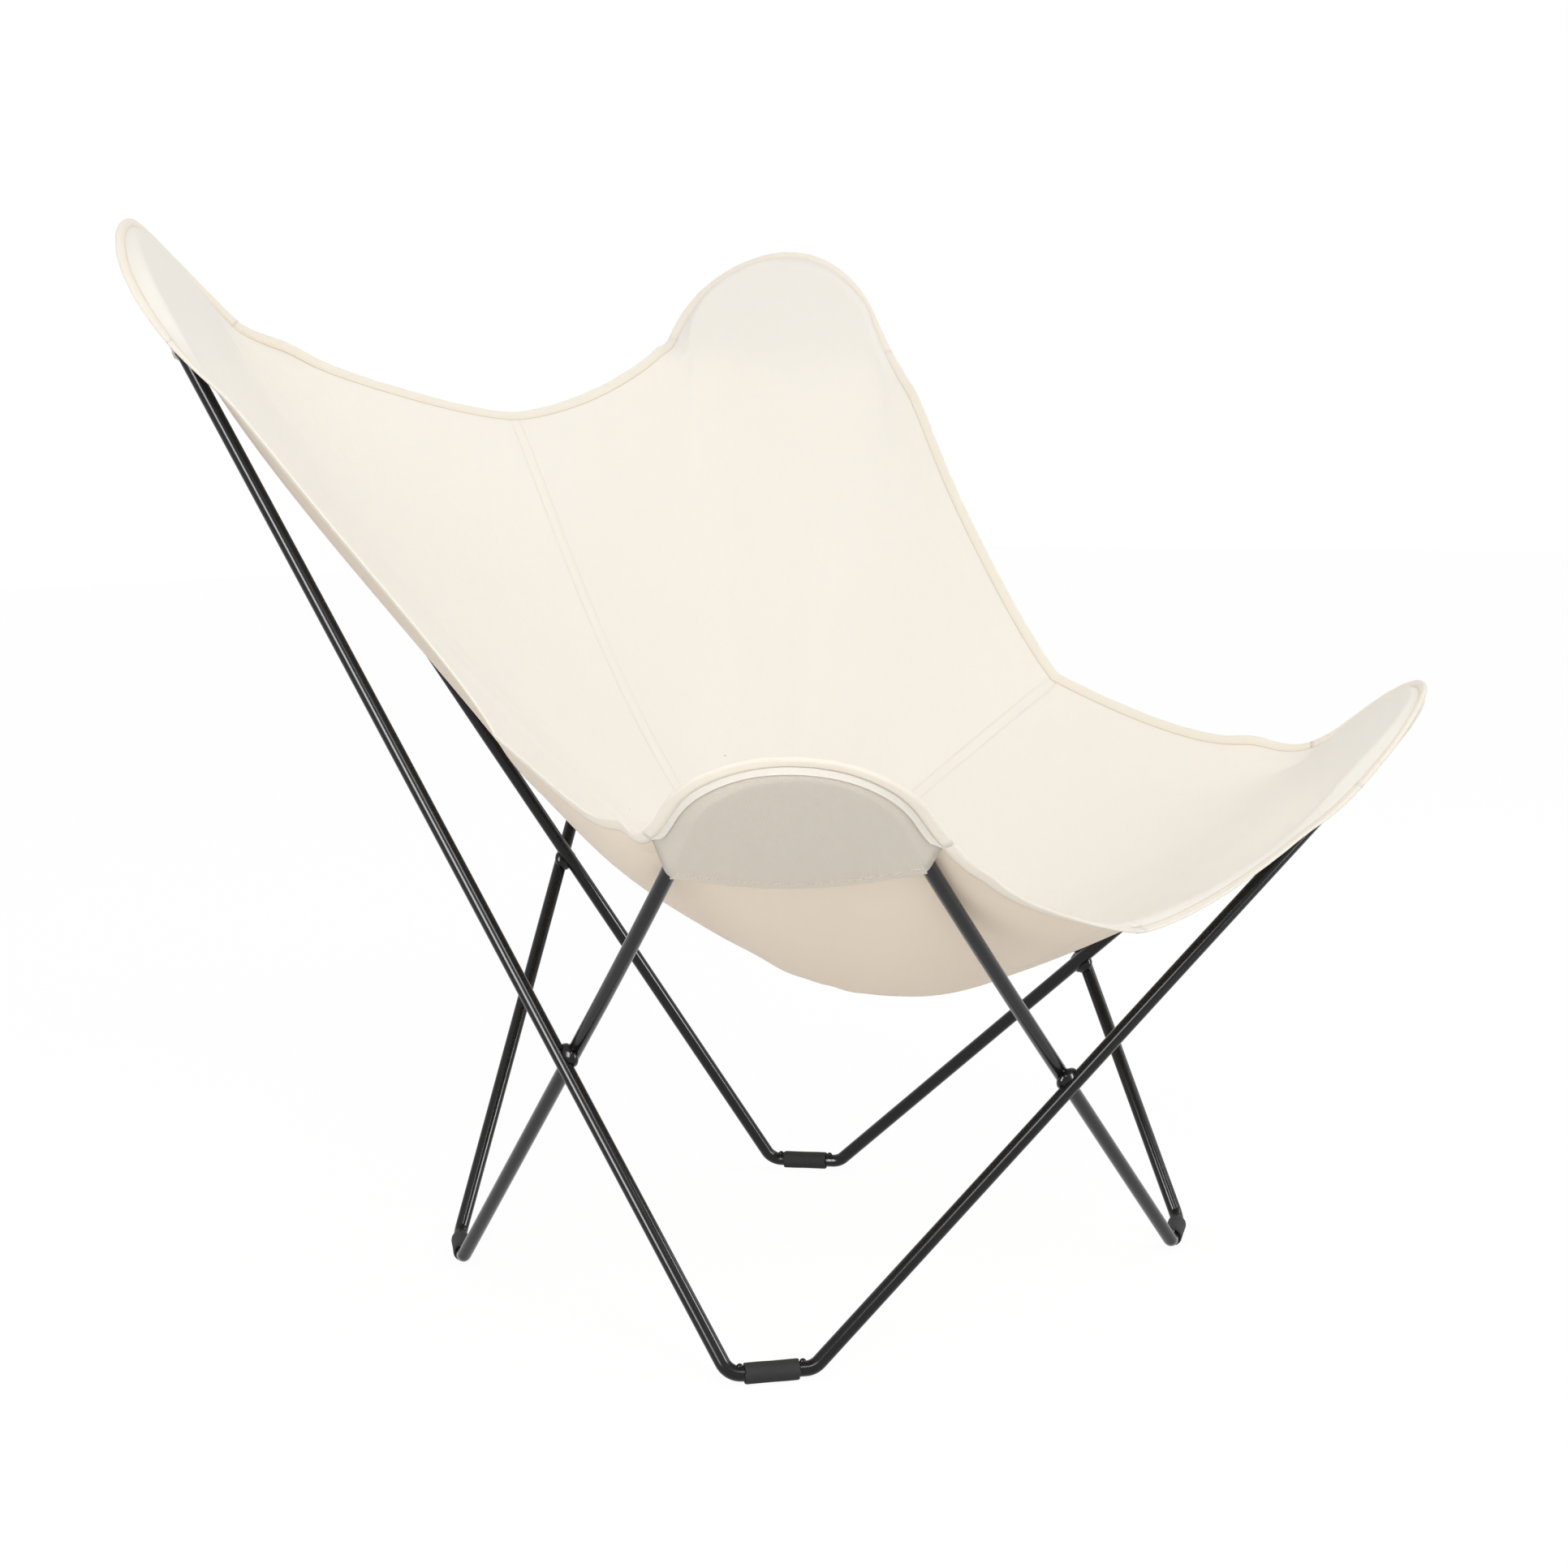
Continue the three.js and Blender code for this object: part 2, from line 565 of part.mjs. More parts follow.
const quarterSpecs = {
  high: {
    drops: [HIGH_SIDE_POCKET, HIGH_BACK_POCKET],
    middles: [V(SIDE_EDGE_X, SIDE_EDGE_Y, SIDE_EDGE_Z), V(0, BACK_EDGE_Y, BACK_EDGE_Z)],
    edges: [[...sideEdgeHighShares].reverse(), backEdgeShares],
    seams: [sideSeamShares, backSeamShares],
    turns: [1, 1],
    panel: highPanelShares,
    forward: 1,
  },
  low: {
    drops: [LOW_POCKET, LOW_POCKET],
    middles: [V(SIDE_EDGE_X, SIDE_EDGE_Y, SIDE_EDGE_Z), V(0, FRONT_EDGE_Y, FRONT_EDGE_Z)],
    edges: [sideEdgeLowShares, [...frontEdgeShares].reverse()],
    seams: [sideSeamShares, frontSeamShares],
    turns: [-1, 1],
    panel: lowPanelShares,
    forward: -1,
  },
};

// The grid of a quarter's cloth: rows from the crossing to the lip, then round the wrap.
function panelGrid(quarter) {
  const rows = range(PANEL_RINGS + 1).map((r) => quarter.stations.map((station) => {
    const { point, leave, arrive } = station;
    return bezier([CROSS, plus(CROSS, leave), plus(point, arrive), point], r / PANEL_RINGS);
  }));
  const ups = rows.map((row, r) => row.map((p, c) => {
    if (r === 0) return CROSS_UP;
    const last = row.length - 1;
    const out = minus(rows[Math.min(r + 1, PANEL_RINGS)][c], rows[r - 1][c]);
    const run = minus(row[Math.min(c + 1, last)], row[Math.max(c - 1, 0)]);
    if (c === last) run.set(Math.abs(run.x), 0, 0);
    const up = unit(cross(out, run));
    return up.dot(CROSS_UP) < 0 ? up.negate() : up;
  }));
  rows[PANEL_RINGS].forEach((p, c) => {
    const station = quarter.stations[c];
    if (c > 0 && c < quarter.stations.length - 1) ups[PANEL_RINGS][c] = station.up;
  });
  return { rows, ups };
}

const quarters = {};
for (const [name, half] of Object.entries(frame)) {
  const spec = quarterSpecs[name.split('_')[0]];
  quarters[name] = { spec, ...makeQuarter(half, spec) };
  quarters[name].grid = panelGrid(quarters[name]);
}

// Quarters that share a seam share its upward and outward directions.
for (const quarter of Object.values(quarters)) {
  const { stations, grid } = quarter;
  const last = stations.length - 1;
  stations[last].up = grid.ups[PANEL_RINGS][last];
  stations[last].out = unit(square(V(0, stations[last].out.y, stations[last].out.z), stations[last].up));
}
for (const name of Object.keys(SIDES)) {
  const [high, low] = [quarters[`high_${name}`], quarters[`low_${name}`]];
  high.grid.ups.forEach((row, r) => {
    const mean = unit(plus(row[0], low.grid.ups[r][0]));
    row[0] = mean;
    low.grid.ups[r][0] = mean;
  });
  const [a, b] = [high.stations[0], low.stations[0]];
  a.up = high.grid.ups[PANEL_RINGS][0];
  b.up = a.up;
  a.out = unit(square(plus(a.out, b.out), a.up));
  b.out = a.out;
}

function makePanel(quarter) {
  const { stations, side, spec } = quarter;
  const rows = [...quarter.grid.rows];
  const ups = [...quarter.grid.ups];
  for (const i of range(WRAP_STEPS)) {
    const turned = stations.map((s) => wrapped(s, WRAP_END * (i + 1) / WRAP_STEPS, s.up));
    rows.push(turned.map((t) => t.point));
    ups.push(turned.map((t) => t.up));
  }
  const clear = V(side * GAP / 2, spec.forward * GAP / 2, 0);
  const kept = (r, c) => 1 - stations[c].wrap * Math.min(r / PANEL_RINGS, 1);
  const face = (offset) => rows.map((row, r) => row.map((p, c) => (
    along(along(p, ups[r][c], offset), clear, kept(r, c)))));
  return sheetSolid(face(CANVAS / 2), face(-CANVAS / 2), true);
}

// A pocket hangs under its lobe: a flat sheet below the rods that wraps them from underneath,
// hemmed along a mouth that sags between the legs.
function makePocket(quarter) {
  const { lobe, stations } = quarter;
  const held = stations.filter((s) => s.wrap === 1 && !s.lip);
  const below = times(lobe.normal, -1);
  const last = held.length - 1;
  const under = held.map((s) => along(s.point, lobe.normal, -2 * WRAP_RADIUS));
  const hang = [lobe.a, lobe.b].map((leg) => times(leg.arrive, -1));
  const mouth = held.map((s, c) => {
    const share = c / last;
    const corner = mix(along(under[0], hang[0], HEM_WIDTH), along(under[last], hang[1], HEM_WIDTH), share);
    return along(corner, lobe.down, POCKET_SAG * Math.sin(Math.PI * share));
  });
  const rows = [];
  const ups = [];
  const thick = [];
  for (const i of range(WRAP_STEPS)) {
    const angle = WRAP_END * (1 - i / WRAP_STEPS);
    const bent = held.map((s) => plus(times(s.out, Math.sin(angle)), times(below, Math.cos(angle))));
    rows.push(held.map((s, c) => along(along(s.point, lobe.normal, -WRAP_RADIUS), bent[c], WRAP_RADIUS)));
    ups.push(bent);
    thick.push(CANVAS);
  }
  for (const i of range(POCKET_RINGS + 1)) {
    const share = i / POCKET_RINGS;
    rows.push(held.map((s, c) => {
      const length = mouth[c].distanceTo(under[c]);
      const hemShare = 1 - HEM_WIDTH / 2 / length;
      const drawn = i < POCKET_RINGS ? share * hemShare * POCKET_RINGS / (POCKET_RINGS - 1) : 1;
      return mix(under[c], mouth[c], Math.min(drawn, 1));
    }));
    ups.push(held.map(() => below));
    thick.push(i >= POCKET_RINGS - 1 ? HEM_THICKNESS : CANVAS);
  }
  const outer = rows.map((row, r) => row.map((p, c) => along(p, ups[r][c], thick[r] - CANVAS / 2)));
  const inner = rows.map((row, r) => row.map((p, c) => along(p, ups[r][c], -CANVAS / 2)));
  return sheetSolid(outer, inner, false);
}

// Binding tape past the rim: a bevelled flat section carried along the stations.
function makeBinding(stations) {
  const halfThick = BINDING_THICKNESS / 2;
  const soft = halfThick - BINDING_BEVEL;
  const section = [
    [0, -halfThick], [0, halfThick], [BINDING_WIDTH - BINDING_BEVEL, halfThick],
    [BINDING_WIDTH, soft], [BINDING_WIDTH, -soft], [BINDING_WIDTH - BINDING_BEVEL, -halfThick],
  ];
  return ringSolid(stations.map((station) => {
    const end = wrapped(station, Math.PI / 2, station.up);
    const start = along(end.point, station.out, BINDING_GAP + CANVAS / 2 * station.wrap);
    return section.map(([out, up]) => along(along(start, station.out, out), station.up, up));
  }));
}

const isLobe = (s) => !s.lip;
for (const [name, quarter] of Object.entries(quarters)) {
  place(`${name}_panel`, makePanel(quarter), canvasFinish);
  place(`${name}_pocket`, makePocket(quarter), canvasFinish);
  place(`${name}_lobe_binding`, makeBinding(quarter.stations.filter(isLobe)), bindingFinish);
}

// The free edge from one lobe to the next, drawn a gap short of each lobe's own binding.
function freeEdge(first, second, end) {
  const pick = (quarter) => {
    const half = quarter.stations.length / 2;
    const edge = quarter.stations.filter((s, i) => s.lip && (end === 0) === (i < half));
    const run = end === 0 ? edge : [...edge].reverse();
    const lip = run.at(-1);
    const corner = run[0].lip ? lip.lip : lip;
    const short = GAP / lip.point.distanceTo(corner.point);
    const closing = {
      point: mix(corner.point, lip.point, short), out: corner.out, up: corner.up, wrap: corner.wrap,
    };
    return [...run, closing];
  };
  return [...pick(first).reverse(), ...pick(second).slice(1)];
}

place('back_edge_binding', makeBinding(freeEdge(quarters.high_left, quarters.high_right, 1)), bindingFinish);
place('front_edge_binding', makeBinding(freeEdge(quarters.low_left, quarters.low_right, 1)), bindingFinish);
for (const name of Object.keys(SIDES)) {
  const edge = freeEdge(quarters[`high_${name}`], quarters[`low_${name}`], 0);
  place(`${name}_edge_binding`, makeBinding(edge), bindingFinish);
}

// A felled seam's tape lies under the cloth along the seam, bent to the cloth on both its sides.
function makeSeamTape(quarter, neighbour, end) {
  const column = (q) => (end === 0 ? [0, 1] : [q.stations.length - 1, q.stations.length - 2]);
  const [c] = column(quarter);
  const layer = (depth) => range(PANEL_RINGS).map((i) => {
    const r = i + 1;
    const p = quarter.grid.rows[r][c];
    const up = quarter.grid.ups[r][c];
    const wings = [quarter, neighbour].map((q) => {
      const [here, next] = column(q);
      const across = unit(minus(q.grid.rows[r][next], q.grid.rows[r][here]));
      return { across, up: unit(square(up, across)) };
    });
    return [
      along(along(p, wings[0].across, TAPE_WIDTH / 2), wings[0].up, -depth),
      along(p, up, -depth / up.dot(wings[0].up)),
      along(along(p, wings[1].across, TAPE_WIDTH / 2), wings[1].up, -depth),
    ];
  });
  const top = CANVAS / 2 + TAPE_GAP;
  return sheetSolid(layer(top), layer(top + TAPE_THICKNESS), false);
}
place('back_seam_tape', makeSeamTape(quarters.high_right, quarters.high_left, 1), bindingFinish);
place('front_seam_tape', makeSeamTape(quarters.low_right, quarters.low_left, 1), bindingFinish);
for (const name of Object.keys(SIDES)) {
  const tape = makeSeamTape(quarters[`high_${name}`], quarters[`low_${name}`], 0);
  place(`${name}_seam_tape`, tape, bindingFinish);
}

// The loops' shift leaves the outline a little off the middle, so the whole is centred on it.
const box = new THREE.Box3().setFromObject(chair);
const middle = box.getCenter(V(0, 0, 0));
for (const piece of chair.children) {
  piece.geometry.translate(-middle.x, -middle.y, 0);
}

export default chair;
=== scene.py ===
"""Butterfly sling chair: a frame of bent black rod and a sling of natural cotton canvas.

The canvas is four panels sewn together where they meet under the sitter. A pocket under each
corner slips over a lobe of the frame, and a folded tape binds the whole rim.
"""

import math
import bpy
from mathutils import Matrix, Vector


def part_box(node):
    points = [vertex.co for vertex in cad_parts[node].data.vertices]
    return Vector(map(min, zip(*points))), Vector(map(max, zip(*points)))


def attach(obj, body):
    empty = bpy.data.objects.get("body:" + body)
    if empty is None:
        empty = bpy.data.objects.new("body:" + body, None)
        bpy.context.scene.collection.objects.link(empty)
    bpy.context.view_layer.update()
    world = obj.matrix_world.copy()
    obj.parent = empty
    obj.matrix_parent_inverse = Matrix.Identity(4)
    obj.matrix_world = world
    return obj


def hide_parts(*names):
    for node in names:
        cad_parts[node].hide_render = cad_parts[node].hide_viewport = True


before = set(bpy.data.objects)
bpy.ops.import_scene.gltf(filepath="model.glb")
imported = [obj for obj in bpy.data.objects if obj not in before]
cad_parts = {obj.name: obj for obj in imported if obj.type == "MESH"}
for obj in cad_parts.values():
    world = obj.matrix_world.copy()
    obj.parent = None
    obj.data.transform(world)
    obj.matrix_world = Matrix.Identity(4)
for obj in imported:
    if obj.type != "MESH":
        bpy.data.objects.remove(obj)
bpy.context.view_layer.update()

from types import SimpleNamespace

import bmesh
import bpy
import numpy as np
from mathutils import Matrix

bl_info = {
    "name": "Butterfly Sling Chair",
    "version": (1, 0, 0),
    "blender": (4, 5, 0),
    "location": "View3D > Sidebar > Chair",
    "description": "Builds a butterfly chair with a canvas sling on a bent rod frame",
    "category": "Add Mesh",
}

MM = 0.001
SIDES = {"left": -1, "right": 1}
QUARTERS = ("high_left", "high_right", "low_left", "low_right")

# The two quarters that meet at each seam, and the end of their rim where it lies
SEAMS = {"back": ("high_right", "high_left", 1), "front": ("low_right", "low_left", 1),
         "left": ("high_left", "low_left", 0), "right": ("high_right", "low_right", 0)}

# Handles of the free edges' cubic curves, as shares of the distance between their ends: the first
# from the edge's middle, the second from the pocket's corner
BACK_EDGE = ((0.25, -0.01, 0), (-0.04, -0.04, -0.1))
SIDE_EDGE_HIGH = ((-0.03, -0.145, -0.22), (-0.015, 0.13, 0.13))
SIDE_EDGE_LOW = ((0.065, -0.53, -0.22), (-0.01, 0.29, -0.015))
FRONT_EDGE = ((-0.25, 0.04, -0.22), (0.12, -0.05, 0))

# How a seam leaves the crossing and arrives at the edge, and how its neighbours turn off, as shares
# of its span. A panel's own numbers are shares of the way to its lobe: how its middle leaves the
# crossing, how far before the lobe its third control points lie, and how they turn off there. The
# narrowing is the share of the lobe's width that they span
BACK_SEAM = {"leave": (0, 0.35), "arrive": (0, -0.13, -0.21), "turn": (0.11, 0, 0)}
SIDE_SEAM = {"leave": (0.17, 0.11), "arrive": (-0.22, 0.13, -0.19), "turn": (-0.02, 0.16, 0.1)}
FRONT_SEAM = {"leave": (0, -0.4), "arrive": (0, 0.13, -0.02), "turn": (0.19, 0, 0)}
HIGH_PANEL = {"leave": (0.1, 0.09), "apron": 0.34, "handle": 0.07, "narrowing": 0.8}
LOW_PANEL = {"leave": (0.11, -0.21), "apron": 0.3, "handle": 0.09, "narrowing": 0.8}

# Rise of the cloth over its run toward the back, where the seams cross
CROSS_SLOPE_SHARE = 0.69

# How the rim lies round each pocket, at even steps from its side leg to its other leg. The lean is how
# far the tape turns down behind the rod, in degrees, and the spare is the gap between rod and seam, in mm
LEANS = {"high_left": (10, 38, 46, 22, -8, -6, -8, -26, -48),
         "high_right": (8, 34, 32, 12, 12, 18, 18, 10, -4),
         "low_left": (-36, -18, -12, -20, -4, -2, 6, -6, -8),
         "low_right": (-18, -14, -14, -14, -8, -8, -2, 16, 16)}
SPARES = {"high_left": (1.8, 1.8, 1.8, 2, 2, 2, 1.8, 4, 10),
          "high_right": (1.5, 1.5, 3.5, 7.5, 5.5, 1.5, 1, 2.5, 10),
          "low_left": (10, 12, 8, 2, 2, 2, 6, 9.5, 8),
          "low_right": (9, 5, 1.8, 0.5, 0.3, 0.5, 2.5, 4.5, 4)}

# How far each free edge droops, in degrees, and its outward bows near a pocket: the height as a share
# of the usual one, the distance from the pocket's corner and the reach. The side edge comes first
DROOPS = {"high": (0, 0), "low": (0, 20)}
BOWS = {"high_left": ((1, 0.09, 0.045), (-0.6, 0.07, 0.03)),
        "high_right": ((1, 0.09, 0.045), (0.8, 0.1, 0.05)),
        "low_left": ((0, 0.09, 0.045), (0, 0.09, 0.045)),
        "low_right": ((0.8, 0.02, 0.02), (0, 0.09, 0.045))}

# Fineness of the surfaces: the points round a section, and the steps along each part of a line
ROD_SIDES = 28
BEND_STEPS = 14
BOW_STEPS = 30
ARCH_STEPS = 48
EDGE_STEPS = 48
LEG_STEPS = 6
PANEL_ROWS = 88
WRAP_STEPS = 10
POCKET_ROWS = 26
TAPE_STEPS = 15
SEAM_POINTS = 17
STITCH_SIDES = 6
MERGE_DISTANCE = 1e-6

# The reach of the easing, in points: of the cloth near the crossing, of the rim near a pocket's corner
# and of the leans and spares
PANEL_EASE = 15
RIM_EASE = 3.5
LEAN_EASE = 3

# Where a quarter's leg and its arch start on the way from the middle of a free edge, 0, to the tip of
# the lobe, 1, and how its rows of cloth crowd toward the rim
LOBE_START = 0.5
ARCH_START = 0.625
ROW_CROWDING = 1.5

# Folds of a panel: waves from seam to seam and outward, the outward ones' height, and how both slant
FOLDS_ACROSS, FOLDS_OUTWARD, OUTWARD_HEIGHT = 2.2, 1.6, 0.6
SLANT_ACROSS, SLANT_OUTWARD = 0.12, 0.3

# A tape: the share of its height and of its width that wanders and the waves of that in a metre, the
# distance from its end over which that fades in, its overlap on the canvas in thicknesses of canvas,
# the point of its section where it is sewn, and the steps that an edge's tape goes on past the corner
TAPE_WANDER = {"height": (0.07, 27), "width": (0.035, 14)}
TAPE_LOOSE = 0.03
TAPE_OVERLAP = 0.7
TAPE_SEWN = 2
EDGE_TUCK = 2

# An edge's tape starts at the first share of its size and gains the second over the distance. Then the
# tape's height where it is sewn, as a share of its full height, and how much less that is round a lobe,
# the share of its width over which it rises, and its rounding's length in half heights
TUCKED, TUCKED_GAIN, TUCKED_REACH = 0.93, 0.07, 0.02
PRESSED, PRESSED_LESS = 0.78, 0.34
TAPE_RISES, TAPE_ROUNDING = 0.4, 1.15

# Section of the flap on a pocket: how far each point is from the seam, as a share of its width, and
# how far it stands off the pocket, in mm. Then its width at its ends and the distance of narrowing
FLAP_REACHES = (0.16, 0.4, 0.65, 0.86, 0.97, 1, 0.98, 0.5, 0.06)
FLAP_RISES = (0.7, 0.6, 0.6, 0.85, 1.25, 1.25, 0.7, 0.06, 0.02)
FLAP_END, FLAP_NARROWS = 0.12, 0.018

# A pocket's end slips by this share of the hem's width, fading over some columns. The hem takes at most
# HEM_MOST of the flat part. Its rows start close together by shares of its width, and go on evenly from
# another share. Its sewn row is pressed to a share of its thickness, its last two are rounded
SLIP, SLIP_COLUMNS = 0.8, 4
HEM_MOST = 0.8
HEM_FIRST_ROWS = (0.03, 0.07, 0.14)
HEM_EVEN_FROM, HEM_EVEN_ROWS = 0.28, 8
HEM_SEWN = WRAP_STEPS + POCKET_ROWS + 2
HEM_PRESSED = 0.84
HEM_ROUNDED = (0.94, 0.55)

# A seam starts some rows from the crossing and its stitches start after some more. Its section follows
# the column beside it, and its width the room to a further one. It is sewn at two of its points
SEAM_START, STITCHES_START = 2, 8
BESIDE, ROOM = 4, 12
SEAM_SEWN = (3, 13)
LIP_SHARES = (0.25, 0.5, 0.75, 1)

# A seam's half width is at most this share of its room. The groove where it is sewn: its depth as a
# share of the seam's rise, its place and its reach as shares of the half width. Then how fast the
# section turns from the middle's direction to its side's
ROOM_SHARE = 0.4
GROOVE_DEPTH, GROOVE_PLACE, GROOVE_REACH = 0.5, 0.8, 0.1
SEAM_TURNS = 1.6

# How deep the middle of a stitch lies in the cloth, in radii of the thread. A stitch has four sections:
# their places are shares of its length, and their size and their dip into the cloth are in radii of the
# thread. They are wider than high by the last number
SUNK = {"tape": 0.5, "hem": 0.2, "seam": 0.4}
STITCH_PLACES = (-0.5, -0.3, 0.3, 0.5)
STITCH_SWELLS = (0.35, 1, 1, 0.35)
STITCH_DIPS = (0.6, 0, 0, 0.6)
STITCH_FLATTENED = 1.2

# Cloth leaves the rod before its underside by at least this, in radians, and the rod's radius is at
# most this share of the seam's distance
LEAVE_MARGIN, NEAREST_SEAM = 0.05, 0.9999

# A nodule's ripples across its first axis, and its height over its width where it is a tack. A weld's
# size along the rods and across them, as shares of its reach and of its depth
RIPPLE, RIPPLE_TURNS, UNEVEN = 0.09, 5.5, 0.06
TACK_HEIGHT = 0.8
WELD_ALONG, WELD_ACROSS = 0.82, 0.8

# A foot sleeve's slack in the bore, its two roundings, how ragged its ends are and how it bulges, its
# waist as a share of its radius and where its roundings lie as shares of its half length
BORE_SLACK = 0.0001
SLEEVE_WAIST, SLEEVE_EDGE, SLEEVE_FULL = 0.985, 0.985, 0.95
SLEEVE_CHAMFER, SLEEVE_ROUNDING = 0.0009, 0.0003
RAGGED, BULGE = 0.0007, 0.012

# Painted shade of the canvas's underside: a warmer, darker tint that stands in for the shade under the sling
# and the warm light that comes through the cloth
UNDERSIDE_PAINTED_SHADE = (0.87, 0.77, 0.67)

# Each lamp's place, width, height, power and whether it lights the cloth
LAMPS = {"key softbox": ((-1.6, -2.7, 2.7), 1.1, 0.9, 38, True),
         "side softbox": ((2.6, -1.2, 1.9), 0.5, 1.6, 13, True),
         "left fill": ((-2.9, -1.1, 1.0), 0.6, 1.8, 14, True),
         "left strip": ((-3.2, -0.6, 1.1), 0.9, 2.4, 170, False),
         "right strip": ((1.3, -3.0, 1.1), 0.9, 2.4, 170, False)}
LAMP_AIM = (0, 0, 0.4)

# The photograph's camera, solved from points of the frame: azimuth, elevation and roll in degrees, its
# place, and in pixels the width of the photograph, the focal length and the middle of the picture
CAMERA_ANGLES = (-43.44, 6.83, -1.31)
CAMERA_PLACE = (-1.6343, -1.7356, 0.6988)
CAMERA_PIXELS = (1932, 3393.2, 972.2, 971.7)

# The world's strength as light and how much stronger it is seen, the floor's half width, its grey and
# its glow, and the share of the glow where it is seen
WORLD_LIGHT, WORLD_SEEN = 0.68, 0.32
FLOOR_REACH, FLOOR_GREY, FLOOR_GLOW, FLOOR_SEEN = 14.0, 0.88, 1.02, 0.93


# Sizes and colours

def length(name, about, value):
    """A length in metres that a user may change."""
    return bpy.props.FloatProperty(name=name, description=about, default=value, unit="LENGTH",
                                   subtype="DISTANCE", precision=4)


def turn(name, about, value):
    """An angle that a user may change, given in degrees."""
    return bpy.props.FloatProperty(name=name, description=about, default=math.radians(value),
                                   unit="ROTATION", subtype="ANGLE")


def share(name, about, value):
    """A share of a whole, from 0 to 1."""
    return bpy.props.FloatProperty(name=name, description=about, default=value, min=0, max=1,
                                   subtype="FACTOR")


def colour(name, about, value):
    """A linear colour that a user may change."""
    return bpy.props.FloatVectorProperty(name=name, description=about, default=value, size=3,
                                         min=0, max=1, subtype="COLOR")


class ChairFrameSizes(bpy.types.PropertyGroup):
    """Sizes of the rod frame, its welds and its foot sleeves."""
    rod: length("Rod", "Diameter of the steel rod", 0.012)
    gap: length("Gap", "Gap between rods that cross and between tube and rod", 0.0003)
    bend: length("Foot bend", "Bend radius of the rod's middle line at a foot", 0.016)
    front_foot_x: length("Front foot X", "Sideways place of a front foot", 0.253)
    front_foot_y: length("Front foot Y", "Forward place of a front foot", 0.22)
    front_foot_half: length("Front foot half", "Half the length of a front foot", 0.033)
    front_foot_turn: turn("Front foot turn", "Turn of a front foot in plan", 33)
    back_foot_x: length("Back foot X", "Sideways place of a back foot", 0.207)
    back_foot_y: length("Back foot Y", "Backward place of a back foot", 0.22)
    back_foot_half: length("Back foot half", "Half the length of a back foot", 0.034)
    back_foot_turn: turn("Back foot turn", "Turn of a back foot in plan", 56)
    high_x: length("High lobe X", "Sideways place of a high lobe", 0.3585)
    high_y: length("High lobe Y", "Backward place of a high lobe", 0.3765)
    high_z: length("High lobe Z", "Height of a high lobe's ends", 0.8375)
    high_half: length("High lobe half", "Half the width of a high lobe", 0.088)
    high_bow: length("High leg bow", "How far a high leg bows outward", 0.0115)
    high_side_straight: share("High side straight", "Straight part of a high side leg", 0.36)
    high_back_straight: share("High back straight", "Straight part of a high back leg", 0.5)
    low_x: length("Low lobe X", "Sideways place of a low lobe", 0.332)
    low_y: length("Low lobe Y", "Forward place of a low lobe", 0.355)
    low_z: length("Low lobe Z", "Height of a low lobe's ends", 0.452)
    low_half: length("Low lobe half", "Half the width of a low lobe", 0.07)
    low_bow: length("Low leg bow", "How far a low leg bows outward", 0.0035)
    low_side_straight: share("Low side straight", "Straight part of a low side leg", 0.6)
    low_front_straight: share("Low front straight", "Straight part of a low front leg", 0.5)
    squeeze: share("Lobe squeeze", "Share by which a high lobe's shoulders are drawn in", 0.02)
    weld_reach: length("Weld reach", "How far a weld reaches along the rods", 0.0115)
    weld_depth: length("Weld depth", "Half the depth of a weld across the rods", 0.0085)
    tack: length("Tack", "Radius of a tack of weld beside a sleeve", 0.0026)
    sleeve: length("Sleeve", "Length of a foot sleeve", 0.0435)
    sleeve_wall: length("Sleeve wall", "Wall of a foot sleeve", 0.0019)
    sleeve_flat: length("Sleeve flat", "Depth that the floor has worn off a sleeve", 0.00035)


